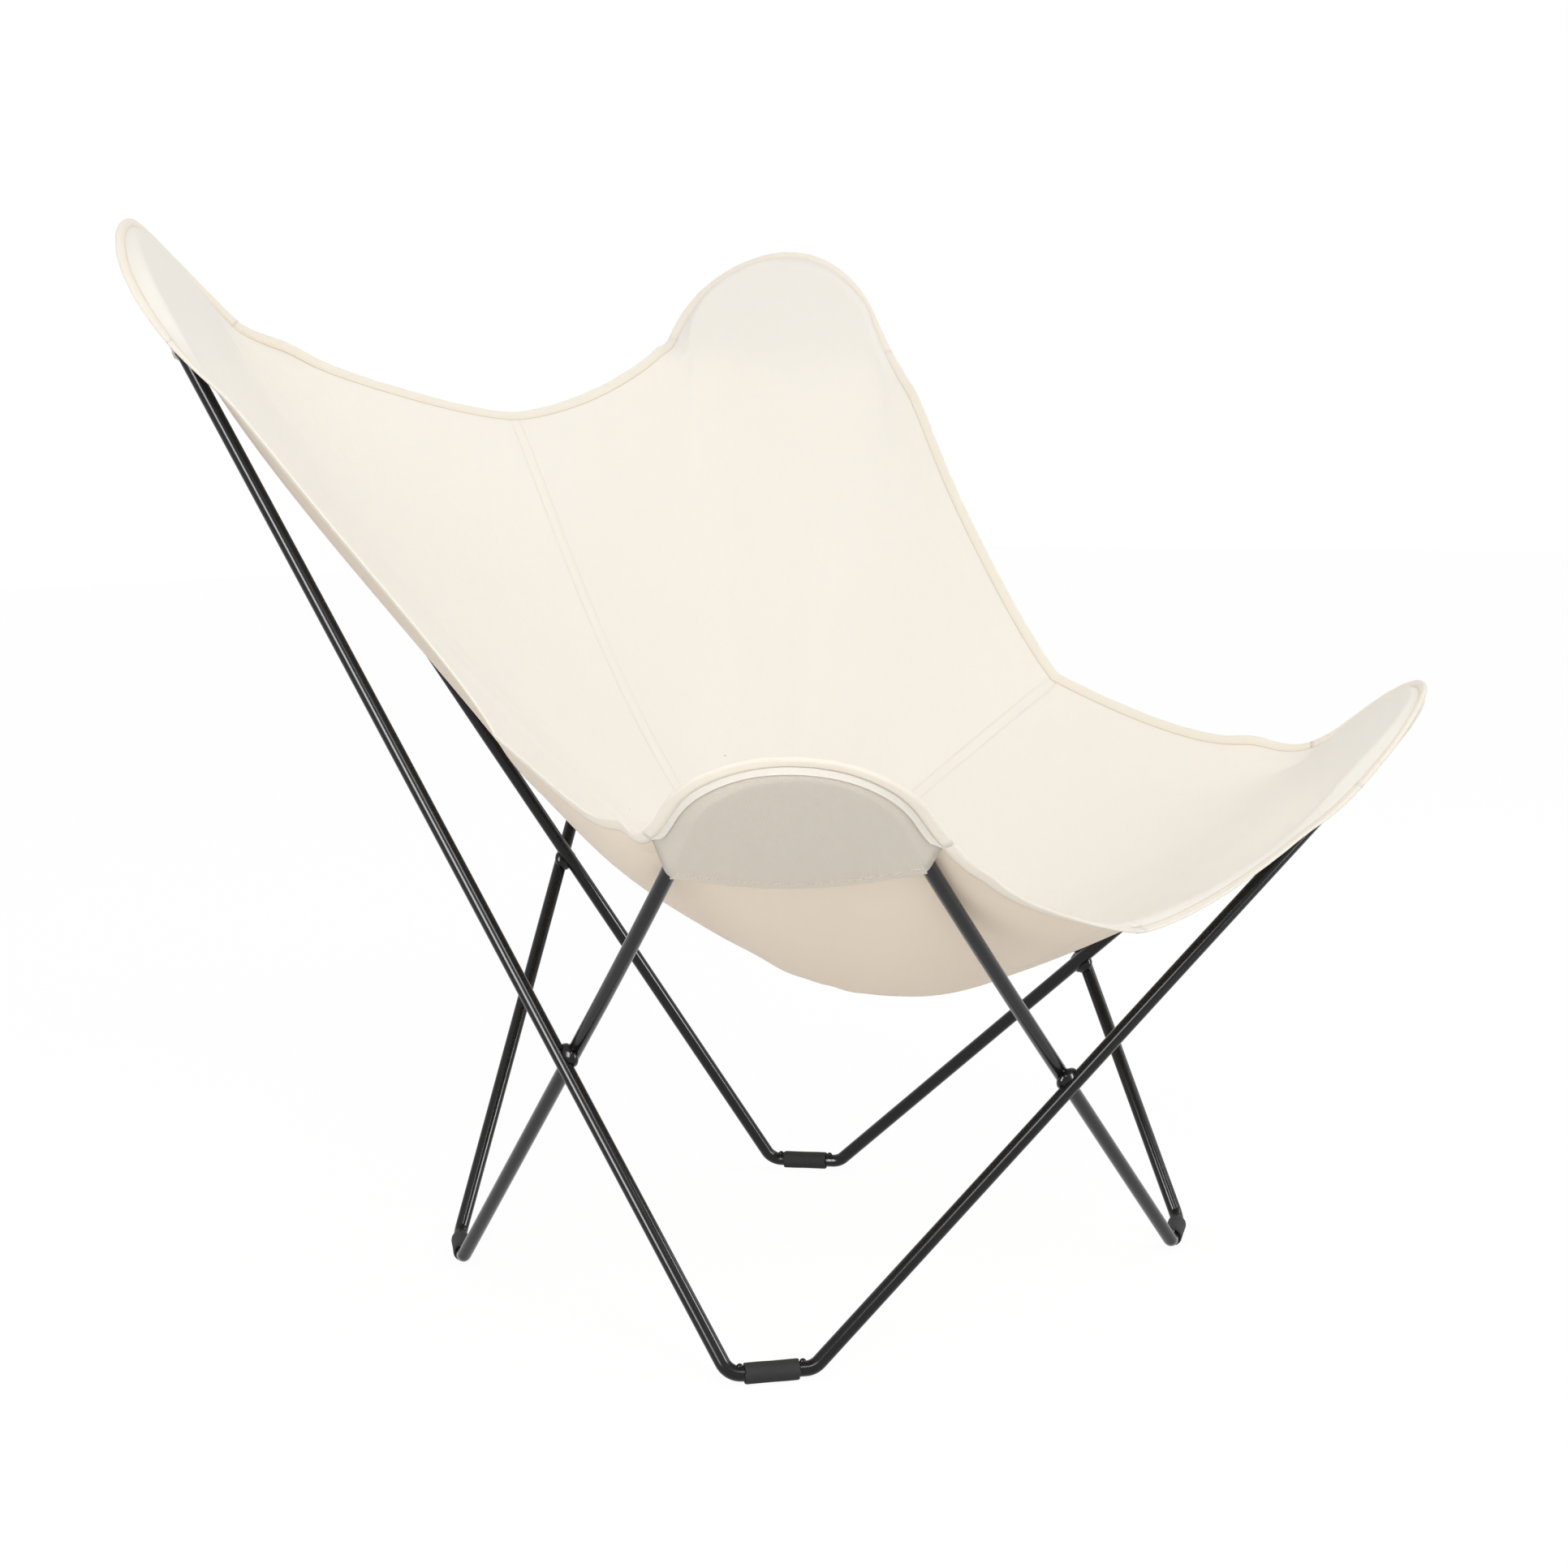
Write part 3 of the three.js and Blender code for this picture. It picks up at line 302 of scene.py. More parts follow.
class ChairSlingSizes(bpy.types.PropertyGroup):
    """Sizes of the sling: where its seams cross, its free edges, its cloth and its tapes."""
    cross_y: length("Crossing Y", "Place of the seam crossing", 0.0185)
    cross_z: length("Crossing Z", "Height of the seam crossing", 0.2865)
    back_y: length("Back edge Y", "Place of the back edge's middle", 0.3685)
    back_z: length("Back edge Z", "Height of the back edge's middle", 0.731)
    side_x: length("Side edge X", "Sideways place of a side edge's middle", 0.3195)
    side_y: length("Side edge Y", "Place of a side edge's middle", -0.007)
    side_z: length("Side edge Z", "Height of a side edge's middle", 0.478)
    front_y: length("Front edge Y", "Place of the front edge's middle", -0.3675)
    front_z: length("Front edge Z", "Height of the front edge's middle", 0.3355)
    canvas: length("Canvas", "Thickness of the canvas", 0.0012)
    binding_width: length("Binding width", "Width of the folded binding tape", 0.0092)
    binding_thickness: length("Binding thickness", "Thickness of the tape along a free edge", 0.0024)
    roll_thickness: length("Roll thickness", "Thickness of the tape where it closes a pocket", 0.0042)
    facing_width: length("Facing width", "Width of the tape's flap on a pocket", 0.0062)
    edge_spare: length("Edge spare", "Canvas past the lip of a free edge besides the wrap", 0.0018)
    fade: length("Corner fade", "How far the rim's lean carries on along a free edge", 0.1)
    corner_ease: length("Corner ease", "How far from a pocket's corner the tape is eased", 0.09)
    high_back_drop: length("High back pocket", "Drop of a high pocket down the back leg", 0.02)
    high_side_drop: length("High side pocket", "Drop of a high pocket down the side leg", 0.035)
    low_drop: length("Low pocket", "Drop of a low pocket down its legs", 0.036)
    pocket_sag: length("Mouth sag", "Sag of a pocket's mouth between its legs", 0.016)
    pocket_full: length("Pocket fullness", "How far a pocket stands out between its rods", 0.0016)
    hem_width: length("Hem width", "Width of the hem at a pocket's mouth", 0.0075)
    hem_thickness: length("Hem thickness", "Thickness of that hem", 0.0024)
    corner: length("Corner reach", "How far from a pocket's corner the rim stops turning", 0.06)
    seam_width: length("Seam width", "Width of a felled seam", 0.0125)
    seam_rise: length("Seam rise", "How far a felled seam stands proud", 0.0003)
    stitch_pitch: length("Stitch pitch", "Distance from one stitch to the next", 0.0034)
    stitch: length("Stitch", "Length of a stitch", 0.0024)
    thread: length("Thread", "Radius of the sewing thread", 0.00024)
    weave: length("Weave", "Distance from one thread of the canvas to the next", 0.0009)
    ripple: length("Ripple", "Height of the soft folds in the canvas", 0.0016)
    bow: length("Bow", "Usual outward bow of a free edge beside a pocket", 0.004)


class ChairFinishes(bpy.types.PropertyGroup):
    """Colours of the finishes."""
    enamel: colour("Enamel", "Gloss black of the rods", (0.004, 0.004, 0.0045))
    rubber: colour("Rubber", "Black rubber of the foot sleeves", (0.012, 0.012, 0.0125))
    canvas: colour("Canvas", "Undyed cotton of the sling", (0.915, 0.865, 0.79))
    # The pockets' colour is greyer than the canvas: partly the twill's own colour, partly painted shade, as
    # the pockets face down.
    pocket: colour("Pocket", "Twilled cotton of the pockets", (0.82, 0.755, 0.665))
    binding: colour("Binding", "Cotton of the binding tape", (0.915, 0.855, 0.755))
    thread: colour("Thread", "Sewing thread", (0.85, 0.77, 0.63))


# Arithmetic

def vector(*parts):
    return np.array(parts, float)


def unit(a):
    """Each vector over its length."""
    return a / np.maximum(np.linalg.norm(a, axis=-1, keepdims=True), 1e-12)


def dot(a, b):
    return np.sum(a * b, axis=-1, keepdims=True)


def square(a, b):
    """What is left of a when its part along the unit vector b is taken away."""
    return a - b * dot(a, b)


def mix(a, b, s):
    """a (1 - s) + b s, point by point."""
    s = np.asarray(s, float)[..., None]
    return a * (1 - s) + b * s


def smooth(s):
    """Eases from 0 to 1: 3 s^2 - 2 s^3, with s held between 0 and 1."""
    s = np.clip(s, 0, 1)
    return s * s * (3 - 2 * s)


def bezier(controls, s):
    """Cubic curve (1-s)^3 p0 + 3(1-s)^2 s p1 + 3(1-s) s^2 p2 + s^3 p3."""
    p0, p1, p2, p3 = controls
    s = np.asarray(s, float)[..., None]
    t = 1 - s
    return p0 * t**3 + p1 * 3 * t**2 * s + p2 * 3 * t * s**2 + p3 * s**3


def eased(points, reach):
    """Takes kinks out of lines of points p: the q that makes (q - p)^2 + reach^4 (second difference
    of q)^2 least, with both ends kept. The reach is counted in points, one value for each line."""
    count = points.shape[-2]
    second = np.zeros((count, count))
    inner = np.arange(1, count - 1)
    second[inner, inner - 1] = second[inner, inner + 1] = 1
    second[inner, inner] = -2
    keep = np.eye(count)
    keep[0, 0] = keep[-1, -1] = 1e9
    stiffness = np.asarray(reach, float)[..., None, None] ** 4 * (second.T @ second)
    return np.linalg.solve(keep + stiffness, keep @ points)


def toward(side, p):
    """The point mirrored to the left side, or as it is on the right."""
    return vector(side * p[0], p[1], p[2])


def travel(line):
    """Distance walked along a line of points, from 0 at its first."""
    steps = np.linalg.norm(np.diff(line, axis=0), axis=-1)
    return np.concatenate([[0], np.cumsum(steps)])


def wobble(phase, waves, seed):
    """A gentle wave from -1 to 1: the mean of three sines at 1, 1.7 and 2.9 times the given waves."""
    shifts = np.random.default_rng(seed).uniform(0, 2 * math.pi, 3)
    turns = phase[..., None] * 2 * math.pi * waves * np.array([1, 1.7, 2.9]) + shifts
    return np.sin(turns).mean(-1)


# Frame lines

def foot_ends(x, y, half, turn_angle, forward, z):
    """A foot in plan: its middle, its direction inward, and the crossing points with its two legs."""
    centre = vector(x, y * forward, z)
    run = vector(-math.cos(turn_angle), math.sin(turn_angle) * forward, 0)
    return SimpleNamespace(centre=centre, run=run, side=centre - run * half, inner=centre + run * half,
                           half=half)


def make_leg(foot, top, outward, bow, straight):
    """A leg p(s) = foot + (top - bow out - foot) s + bow out max(0, (s - straight) / (1 - straight))^2."""
    aim = top - outward * bow

    def point(s):
        s = np.asarray(s, float)[..., None]
        over = np.clip((s - straight) / (1 - straight), 0, None)
        return foot + (aim - foot) * s + outward * bow * over**2

    arrive = unit(aim - foot + outward * 2 * bow / (1 - straight))
    return SimpleNamespace(foot=foot, top=top, straight=straight, point=point, rise=unit(aim - foot),
                           arrive=arrive)


def make_lobe(a, b, squeeze):
    """The arc centre + r (side sin w - down cos w) that carries on from leg a into leg b. Its radius
    is r (1 - squeeze sin^2 2 pi s), so the shoulders are a little flatter than a circle's."""
    side = unit(a.top - b.top)
    down = unit(square(-(a.arrive + b.arrive), side))
    lean = math.acos(float(np.dot(a.arrive, b.arrive))) / 2
    half = np.linalg.norm(a.top - b.top) / 2
    radius = half / math.cos(lean)
    centre = (a.top + b.top) / 2 + down * radius * math.sin(lean)
    normal = np.cross(side, down)
    normal = normal if normal[2] > 0 else -normal
    spread = math.pi / 2 - lean

    def out(s):
        angle = spread * (1 - 2 * np.asarray(s, float))[..., None]
        return side * np.sin(angle) - down * np.cos(angle)

    def arc(s):
        drawn_in = squeeze * np.sin(2 * math.pi * np.asarray(s, float))[..., None] ** 2
        return centre + out(s) * radius * (1 - drawn_in)

    return SimpleNamespace(a=a, b=b, side=side, down=down, centre=centre, normal=normal, out=out, arc=arc)


def crossing(a, b):
    """The common normal of two leg lines and the point half way between them where they pass."""
    normal = unit(np.cross(a.rise, b.rise))
    apart = b.foot - a.foot
    distance = float(np.dot(apart, normal))
    both = np.cross(a.rise, b.rise)
    reach = np.dot(np.cross(square(apart, normal), b.rise), both) / np.dot(both, both)
    return SimpleNamespace(normal=normal, point=a.foot + a.rise * reach + normal * distance / 2)


def frame_lines(sizes):
    """The middle lines of the four half loops. They are worked out round the feet's own middle, and
    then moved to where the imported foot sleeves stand."""
    foot_z = sizes.rod / 2 + sizes.gap + sizes.sleeve_wall - sizes.sleeve_flat
    front = foot_ends(sizes.front_foot_x, sizes.front_foot_y, sizes.front_foot_half,
                      sizes.front_foot_turn, -1, foot_z)
    back = foot_ends(sizes.back_foot_x, sizes.back_foot_y, sizes.back_foot_half,
                     sizes.back_foot_turn, 1, foot_z)

    def lobe_ends(x, y, z, half, forward):
        run = unit(vector(-1, forward, 0))
        middle = vector(x, y * forward, z)
        return middle - run * half, middle + run * half

    high_ends = lobe_ends(sizes.high_x, sizes.high_y, sizes.high_z, sizes.high_half, 1)
    low_ends = lobe_ends(sizes.low_x, sizes.low_y, sizes.low_z, sizes.low_half, -1)
    run = low_ends[1] - toward(-1, front.inner)
    loop_shift = (sizes.rod + sizes.gap) / 2 * math.hypot(run[1], run[2]) / run[2]

    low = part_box("front_left_foot_sleeve")
    place = (np.array(low[0]) + np.array(low[1])) / 2
    home = toward(-1, front.centre) + vector(0, -loop_shift, 0)
    home = vector(place[0] - home[0], place[1] - home[1], 0)

    def legs(side, shift_y, side_foot, inner_foot, ends, shift_x, bow, straights):
        tops = [toward(side, end) + vector(shift_x, shift_y, 0) + home for end in ends]
        feet = [toward(side, side_foot.side) + vector(0, shift_y, 0) + home,
                toward(-side, inner_foot.inner) + vector(0, shift_y, 0) + home]
        outward = [unit(square(tops[i] - tops[1 - i], unit(tops[i] - feet[i]))) for i in (0, 1)]
        return [make_leg(feet[i], tops[i], outward[i], bow, straights[i]) for i in (0, 1)]

    def high_legs(side):
        return legs(side, side * loop_shift, front, back, high_ends, 0, sizes.high_bow,
                    (sizes.high_side_straight, sizes.high_back_straight))

    def low_legs(side, shift_x):
        return legs(side, -side * loop_shift, back, front, low_ends, shift_x, sizes.low_bow,
                    (sizes.low_side_straight, sizes.low_front_straight))

    def low_shift(side):
        """Secant search for the shift at which the low side leg passes a rod and a gap inside."""
        leg = high_legs(side)[0]

        def miss(x):
            other = low_legs(side, x)[0]
            normal = crossing(other, leg).normal
            outward = 1 if normal[0] * side > 0 else -1
            return float(np.dot(leg.foot - other.foot, normal)) * outward - (sizes.rod + sizes.gap)

        x0, x1 = 0.0, side * sizes.rod / 2
        m0, m1 = miss(x0), miss(x1)
        for _ in range(6):
            if m1 == m0:
                break
            x0, m0, x1 = x1, m1, x1 - m1 * (x1 - x0) / (m1 - m0)
            m1 = miss(x1)
        return x1

    halves = {}
    for name, side in SIDES.items():
        halves[f"high_{name}"] = SimpleNamespace(side=side, legs=high_legs(side), feet=(front, back),
                                                 shift=side * loop_shift)
        halves[f"low_{name}"] = SimpleNamespace(side=side, legs=low_legs(side, low_shift(side)),
                                                feet=(back, front), shift=-side * loop_shift)
    for half in halves.values():
        half.lobe = make_lobe(*half.legs, sizes.squeeze if half.feet[0] is front else 0)
    return SimpleNamespace(halves=halves, front=front, back=back, shift=loop_shift, home=home)


def foot_to_top(leg, run, sizes):
    """From the bend's start at the foot, round the bend by an arc, then up the leg to the lobe."""
    angle = math.acos(float(np.dot(run, leg.rise)))
    inward = unit(square(leg.rise, run))
    start = leg.foot - run * sizes.bend * math.tan(angle / 2)
    w = np.linspace(0, angle, BEND_STEPS + 1)[:, None]
    bend = start + run * sizes.bend * np.sin(w) + inward * sizes.bend * (1 - np.cos(w))
    low = leg.point(np.array([leg.straight * 0.5]))
    return np.vstack([bend, low, leg.point(np.linspace(leg.straight, 1, BOW_STEPS + 1))])


def rod_line(half, sizes):
    """The whole middle line of a half loop, and the two points where a tack of weld sits."""
    arms, tacks = [], []
    for i, leg in enumerate(half.legs):
        foot = half.feet[i]
        run = -toward(half.side, foot.run) if i == 0 else toward(-half.side, foot.run)
        butt = leg.foot + run * (sizes.gap / 2 - foot.half)
        arms.append(np.vstack([butt[None], foot_to_top(leg, run, sizes)]))
        tacks.append(butt + run * (sizes.sleeve / 2 + sizes.tack) + vector(0, 0, sizes.rod / 2))
    arch = half.lobe.arc(np.arange(1, ARCH_STEPS) / ARCH_STEPS)
    return np.vstack([arms[0], arch, arms[1][::-1]]), tacks


# Meshes

def new_piece(name, material, points, quads, ends=None, uvs=None, border=None):
    """A mesh object at the origin. Its faces are turned outward by the sign of its volume, which is
    the sum of a . (b x c) over its triangles, and points that coincide are merged. The faces of its
    ends are flat, and the rest are smooth. The border is a value of each point that the material
    uses as a mask for painted shade."""
    faces = quads if ends is None else np.vstack([quads, ends])
    corners = points[np.vstack([faces[:, [0, 1, 2]], faces[:, [0, 2, 3]]])]
    volume = np.sum(corners[:, 0] * np.cross(corners[:, 1], corners[:, 2]))
    order = slice(None) if volume > 0 else slice(None, None, -1)
    mesh = bpy.data.meshes.new(name)
    mesh.from_pydata(points.tolist(), [], faces[:, order].tolist())
    mesh.polygons.foreach_set("use_smooth", np.arange(len(faces)) < len(quads))
    if border is not None:
        mesh.attributes.new("border", "FLOAT", "POINT").data.foreach_set(
            "value", border.astype(np.float32).ravel())
    if uvs is not None:
        corner_points = np.zeros(len(mesh.loops), np.int32)
        mesh.loops.foreach_get("vertex_index", corner_points)
        layer = mesh.uv_layers.new(name="cloth")
        layer.data.foreach_set("uv", uvs[corner_points].astype(np.float32).ravel())
    builder = bmesh.new()
    builder.from_mesh(mesh)
    bmesh.ops.remove_doubles(builder, verts=builder.verts, dist=MERGE_DISTANCE)
    builder.to_mesh(mesh)
    builder.free()
    piece = bpy.data.objects.new(name, mesh)
    bpy.context.scene.collection.objects.link(piece)
    mesh.materials.append(material)
    return piece


def ring_faces(rows, sides):
    """Quads between neighbouring closed rings."""
    j = np.arange(sides)
    k = (j + 1) % sides
    i = np.arange(rows - 1)[:, None] * sides
    return np.stack([i + j, i + k, i + k + sides, i + j + sides], -1).reshape(-1, 4)


def tube_piece(name, rings, material, uvs=None, border=None):
    """Closed rings joined one after the other, with a fan of faces round the middle of each end."""
    rows, sides = rings.shape[:2]
    points = np.vstack([rings.reshape(-1, 3), rings[0].mean(0), rings[-1].mean(0)])
    j = np.arange(0, sides - 1, 2)
    end = (rows - 1) * sides
    last_side = (j + 2) % sides
    first = np.stack([last_side, j + 1, j, np.full(len(j), rows * sides)], -1)
    last = np.stack([end + j, end + j + 1, end + last_side, np.full(len(j), rows * sides + 1)], -1)
    if uvs is not None:
        uvs = np.vstack([uvs.reshape(-1, 2), uvs[0].mean(0), uvs[-1].mean(0)])
    if border is not None:
        border = np.concatenate([np.broadcast_to(border, (rows, sides)).ravel(), [0, 0]])
    return new_piece(name, material, points, ring_faces(rows, sides), np.vstack([first, last]), uvs,
                     border)


def sheet_piece(name, upper, lower, uv, material):
    """A closed sheet between an upper and a lower grid of points, with a strip round its border. Its
    border value is 1 on the lower grid, where the canvas's material paints the shade of the underside."""
    rows, columns = upper.shape[:2]
    up = np.arange(rows * columns).reshape(rows, columns)
    down = up + rows * columns
    top = np.stack([up[:-1, :-1], up[:-1, 1:], up[1:, 1:], up[1:, :-1]], -1).reshape(-1, 4)
    bottom = np.stack([down[1:, :-1], down[1:, 1:], down[:-1, 1:], down[:-1, :-1]], -1).reshape(-1, 4)
    ring = np.concatenate([up[0, :], up[1:, -1], up[-1, -2::-1], up[-2:0:-1, 0]])
    after = np.roll(ring, -1)
    border = np.stack([after, ring, ring + rows * columns, after + rows * columns], -1)
    points = np.vstack([upper.reshape(-1, 3), lower.reshape(-1, 3)])
    uvs = np.vstack([uv.reshape(-1, 2), uv.reshape(-1, 2)])
    below = np.repeat([0.0, 1.0], rows * columns)
    return new_piece(name, material, points, np.vstack([top, bottom]), border, uvs, below)


def carried_round(line, guide, radius, sides):
    """Round section carried along a line: p + r (across cos w + up sin w), where across is square
    to the line and to the guide, and up is square to both."""
    tangent = unit(np.gradient(line, axis=0))
    across = unit(np.cross(tangent, guide))
    up = np.cross(across, tangent)
    w = np.linspace(0, 2 * math.pi, sides, endpoint=False)[None, :, None]
    radius = np.broadcast_to(np.asarray(radius, float), (len(line),))[:, None, None]
    return line[:, None] + radius * (across[:, None] * np.cos(w) + up[:, None] * np.sin(w))


def sampled(values, walked, at):
    """Values along a line, taken at other distances walked along it."""
    return np.stack([np.interp(at, walked, values[:, i]) for i in range(3)], -1)


def stitches_piece(name, rows, sizes, material):
    """Short lengths of thread laid on lines: each is a six-sided bar that narrows at both ends and
    stands half out of the cloth. A row is a line of points with the upward direction at each."""
    centres, runs, ups = [], [], []
    for line, up in rows:
        walked = travel(line)
        count = max(int(walked[-1] / sizes.stitch_pitch), 1)
        at = (np.arange(count) + 0.5) * walked[-1] / count
        tangent = unit(np.gradient(line, axis=0))
        centres.append(sampled(line, walked, at))
        runs.append(unit(sampled(tangent, walked, at)))
        ups.append(unit(sampled(up, walked, at)))
    centre, run, up = (np.vstack(part)[:, None, None] for part in (centres, runs, ups))
    across = np.cross(run, up)
    reach = vector(*STITCH_PLACES)[None, :, None, None] * sizes.stitch
    swell = vector(*STITCH_SWELLS)[None, :, None, None] * sizes.thread
    dip = vector(*STITCH_DIPS)[None, :, None, None] * sizes.thread
    w = np.linspace(0, 2 * math.pi, STITCH_SIDES, endpoint=False)[None, None, :, None]
    section = across * np.cos(w) * STITCH_FLATTENED + up * np.sin(w)
    bars = centre + run * reach + swell * section - up * dip
    one = ring_faces(4, STITCH_SIDES)
    ends = np.array([[5, 4, 3, 2], [5, 2, 1, 0], [18, 19, 20, 21], [18, 21, 22, 23]])
    starts = np.arange(len(bars))[:, None, None] * 4 * STITCH_SIDES
    faces = (np.vstack([one, ends])[None] + starts).reshape(-1, 4)
    return new_piece(name, material, bars.reshape(-1, 3), faces)


# Sling lines

def quarter_spec(name, sling):
    """What differs between the high and the low quarters of the sling."""
    side_middle = vector(sling.side_x, sling.side_y, sling.side_z)
    if name.startswith("high"):
        return SimpleNamespace(
            drops=(sling.high_side_drop, sling.high_back_drop),
            middles=(side_middle, vector(0, sling.back_y, sling.back_z)),
            edges=(SIDE_EDGE_HIGH[::-1], BACK_EDGE),
            seams=(SIDE_SEAM, BACK_SEAM), turns=(1, 1), panel=HIGH_PANEL)
    return SimpleNamespace(
        drops=(sling.low_drop, sling.low_drop),
        middles=(side_middle, vector(0, sling.front_y, sling.front_z)),
        edges=(SIDE_EDGE_LOW, FRONT_EDGE[::-1]),
        seams=(SIDE_SEAM, FRONT_SEAM), turns=(-1, 1), panel=LOW_PANEL)


def in_slope(part, reach):
    """A direction that lies in the slope of the cloth where the seams cross."""
    return vector(part[0], part[1], part[1] * CROSS_SLOPE_SHARE) * reach


def rim_directions(point, third, lobe, out, lips, sling):
    """The directions out and up of each station, and how much it wraps. Round the lobe they are the
    lobe's own, and they go over into the free cloth's within the corner's reach."""
    count = len(point)
    wrap = np.ones(count)
    outs, ups = point * 0, np.repeat(lobe.normal[None], count, 0)
    outs[EDGE_STEPS:count - EDGE_STEPS] = out
    run = unit(np.gradient(point, axis=0))
    plain = unit(square(point - third, run))
    upright = np.cross(run, plain)
    upright = upright * np.where(dot(upright, lobe.normal) < 0, -1, 1)
    for part, lip in ((slice(0, EDGE_STEPS), 0), (slice(count - EDGE_STEPS, count), -1)):
        far = smooth(np.linalg.norm(point[part] - lips[lip], axis=-1) / sling.corner)
        outs[part] = unit(mix(np.repeat(out[lip][None], EDGE_STEPS, 0), plain[part], far))
        ups[part] = unit(square(mix(np.repeat(lobe.normal[None], EDGE_STEPS, 0), upright[part], far),
                                outs[part]))
        wrap[part] = 1 - far
    return outs, ups, wrap


def leans_and_spares(name, point, sling):
    """How far the rim leans at each station, in radians, and how far it stands off the rod, in
    metres. Both follow the lobe's lists, and fade into the free edges' droops and bows."""
    walked = travel(point)
    first, last = walked[EDGE_STEPS], walked[-EDGE_STEPS - 1]
    way = (walked - first) / (last - first)
    past = np.maximum(first - walked, walked - last)
    near_lobe = 1 - smooth(past / sling.fade)
    steps = np.linspace(0, 1, len(LEANS[name]))
    droop = np.where(way < 0.5, *DROOPS[name.split("_")[0]])
    tilt = np.interp(way, steps, LEANS[name]) * near_lobe + droop * (1 - near_lobe)
    spare = np.interp(way, steps, SPARES[name]) * near_lobe
    for i, (height, at, reach) in enumerate(BOWS[name]):
        here = (way < 0.5) == (i == 0)
        spare += here * height * sling.bow / MM * np.exp(-((past - at) / reach) ** 2)
    return eased(np.stack([np.radians(tilt), spare * MM], -1), LEAN_EASE).T


def make_quarter(name, half, lines, sizes, sling):
    """One quarter of the sling: its rim, and the grid of cloth from the seam crossing to it.

    Along the rim a station has the point where the cloth meets rod or binding, the directions out
    and up, and how much it wraps. A line of cloth is a cubic curve from the crossing to its
    station, whose third control point lies on one smooth line, the apron."""
    spec = quarter_spec(name, sling)
    side, lobe = half.side, half.lobe
    wrap_radius = sizes.rod / 2 + sizes.gap + sling.canvas / 2
    move = lines.home

    def mirror(p):
        return toward(side, p)

    middles = [mirror(m) + move for m in spec.middles]
    cross = vector(0, sling.cross_y, sling.cross_z) + move

    def leg_points(arm, drop, u):
        return arm.point(1 - drop / (arm.top[2] - arm.foot[2]) * (1 - u))

    u = np.arange(LEG_STEPS) / LEG_STEPS
    s = np.linspace(0, 1, ARCH_STEPS + 1)
    rod = np.vstack([leg_points(lobe.a, spec.drops[0], u), lobe.arc(s),
                     leg_points(lobe.b, spec.drops[1], u)[::-1]])
    out = np.vstack([np.repeat(lobe.out(0)[None], LEG_STEPS, 0), lobe.out(s),
                     np.repeat(lobe.out(1)[None], LEG_STEPS, 0)])
    lips = rod + lobe.normal * wrap_radius
    t = np.arange(EDGE_STEPS) / EDGE_STEPS
    edges = []
    for i, lip in enumerate((lips[0], lips[-1])):
        away = np.linalg.norm(lip - middles[i])
        first, second = (mirror(np.array(part)) * away for part in spec.edges[i])
        edges.append(bezier((middles[i], middles[i] + first, lip + second, lip), t))
    point = np.vstack([edges[0], lips, edges[1][::-1]])

    ease_leg = LOBE_START + (ARCH_START - LOBE_START) * u
    ease_arch = ARCH_START + (1 - ARCH_START) * (1 - np.abs(1 - 2 * s))
    ease = np.concatenate([LOBE_START * t, ease_leg, ease_arch, ease_leg[::-1], LOBE_START * t[::-1]])
    count = len(ease)
    near = (np.arange(count) >= count / 2).astype(int)
    spans = [np.linalg.norm(m - cross) for m in middles]
    reach = np.linalg.norm(lobe.centre - cross)
    leave_seam = np.stack([mirror(in_slope(spec.seams[i]["leave"], spans[i])) for i in (0, 1)])[near]
    leave = mix(leave_seam, mirror(in_slope(spec.panel["leave"], reach)), smooth(ease))

    apron = lobe.centre + lobe.down * spec.panel["apron"] * reach + lobe.normal * wrap_radius
    on_lobe = apron + lobe.side * dot(lips - lobe.centre, lobe.side) * spec.panel["narrowing"]
    aprons = []
    for i, end in enumerate((on_lobe[0], on_lobe[-1])):
        start = middles[i] + mirror(np.array(spec.seams[i]["arrive"])) * spans[i]
        bend = mirror(np.array(spec.seams[i]["turn"])) * spans[i] * spec.turns[i]
        away = (1, -1)[i] * spec.panel["handle"] * reach
        aprons.append(bezier((start, start + bend, end + lobe.side * away, end), t))
    third = np.vstack([aprons[0], on_lobe, aprons[1][::-1]])

    rows = 1 - (1 - np.linspace(0, 1, PANEL_ROWS + 1)) ** ROW_CROWDING
    grid = bezier((cross, (cross + leave)[None], third[None], point[None]), rows[:, None])
    grid = eased(grid, PANEL_EASE * (1 - rows**5))

    outs, ups, wrap = rim_directions(point, third, lobe, out, lips, sling)
    tilt, spare = leans_and_spares(name, point, sling)
    return SimpleNamespace(name=name, side=side, lobe=lobe, point=point, out=outs, up=ups, wrap=wrap,
                           tilt=tilt, spare=spare, held=slice(EDGE_STEPS, count - EDGE_STEPS),
                           grid=grid, rows=rows, cross=cross, wrap_radius=wrap_radius)


def cloth_normals(quarter):
    """Unit normals of the grid, the cross product of its two slopes, turned to the sitter's side."""
    grid = quarter.grid
    outward = np.gradient(grid, axis=0)
    across = np.gradient(grid, axis=1)
    ups = unit(np.cross(outward, across))
    guide = unit(vector(0, -CROSS_SLOPE_SHARE, 1))
    ups[0] = guide
    middle = ups[PANEL_ROWS // 2, grid.shape[1] // 2]
    if np.dot(middle, quarter.lobe.normal) < 0:
        ups[1:] *= -1
    ups[-1, 1:-1] = quarter.up[1:-1]
    return ups


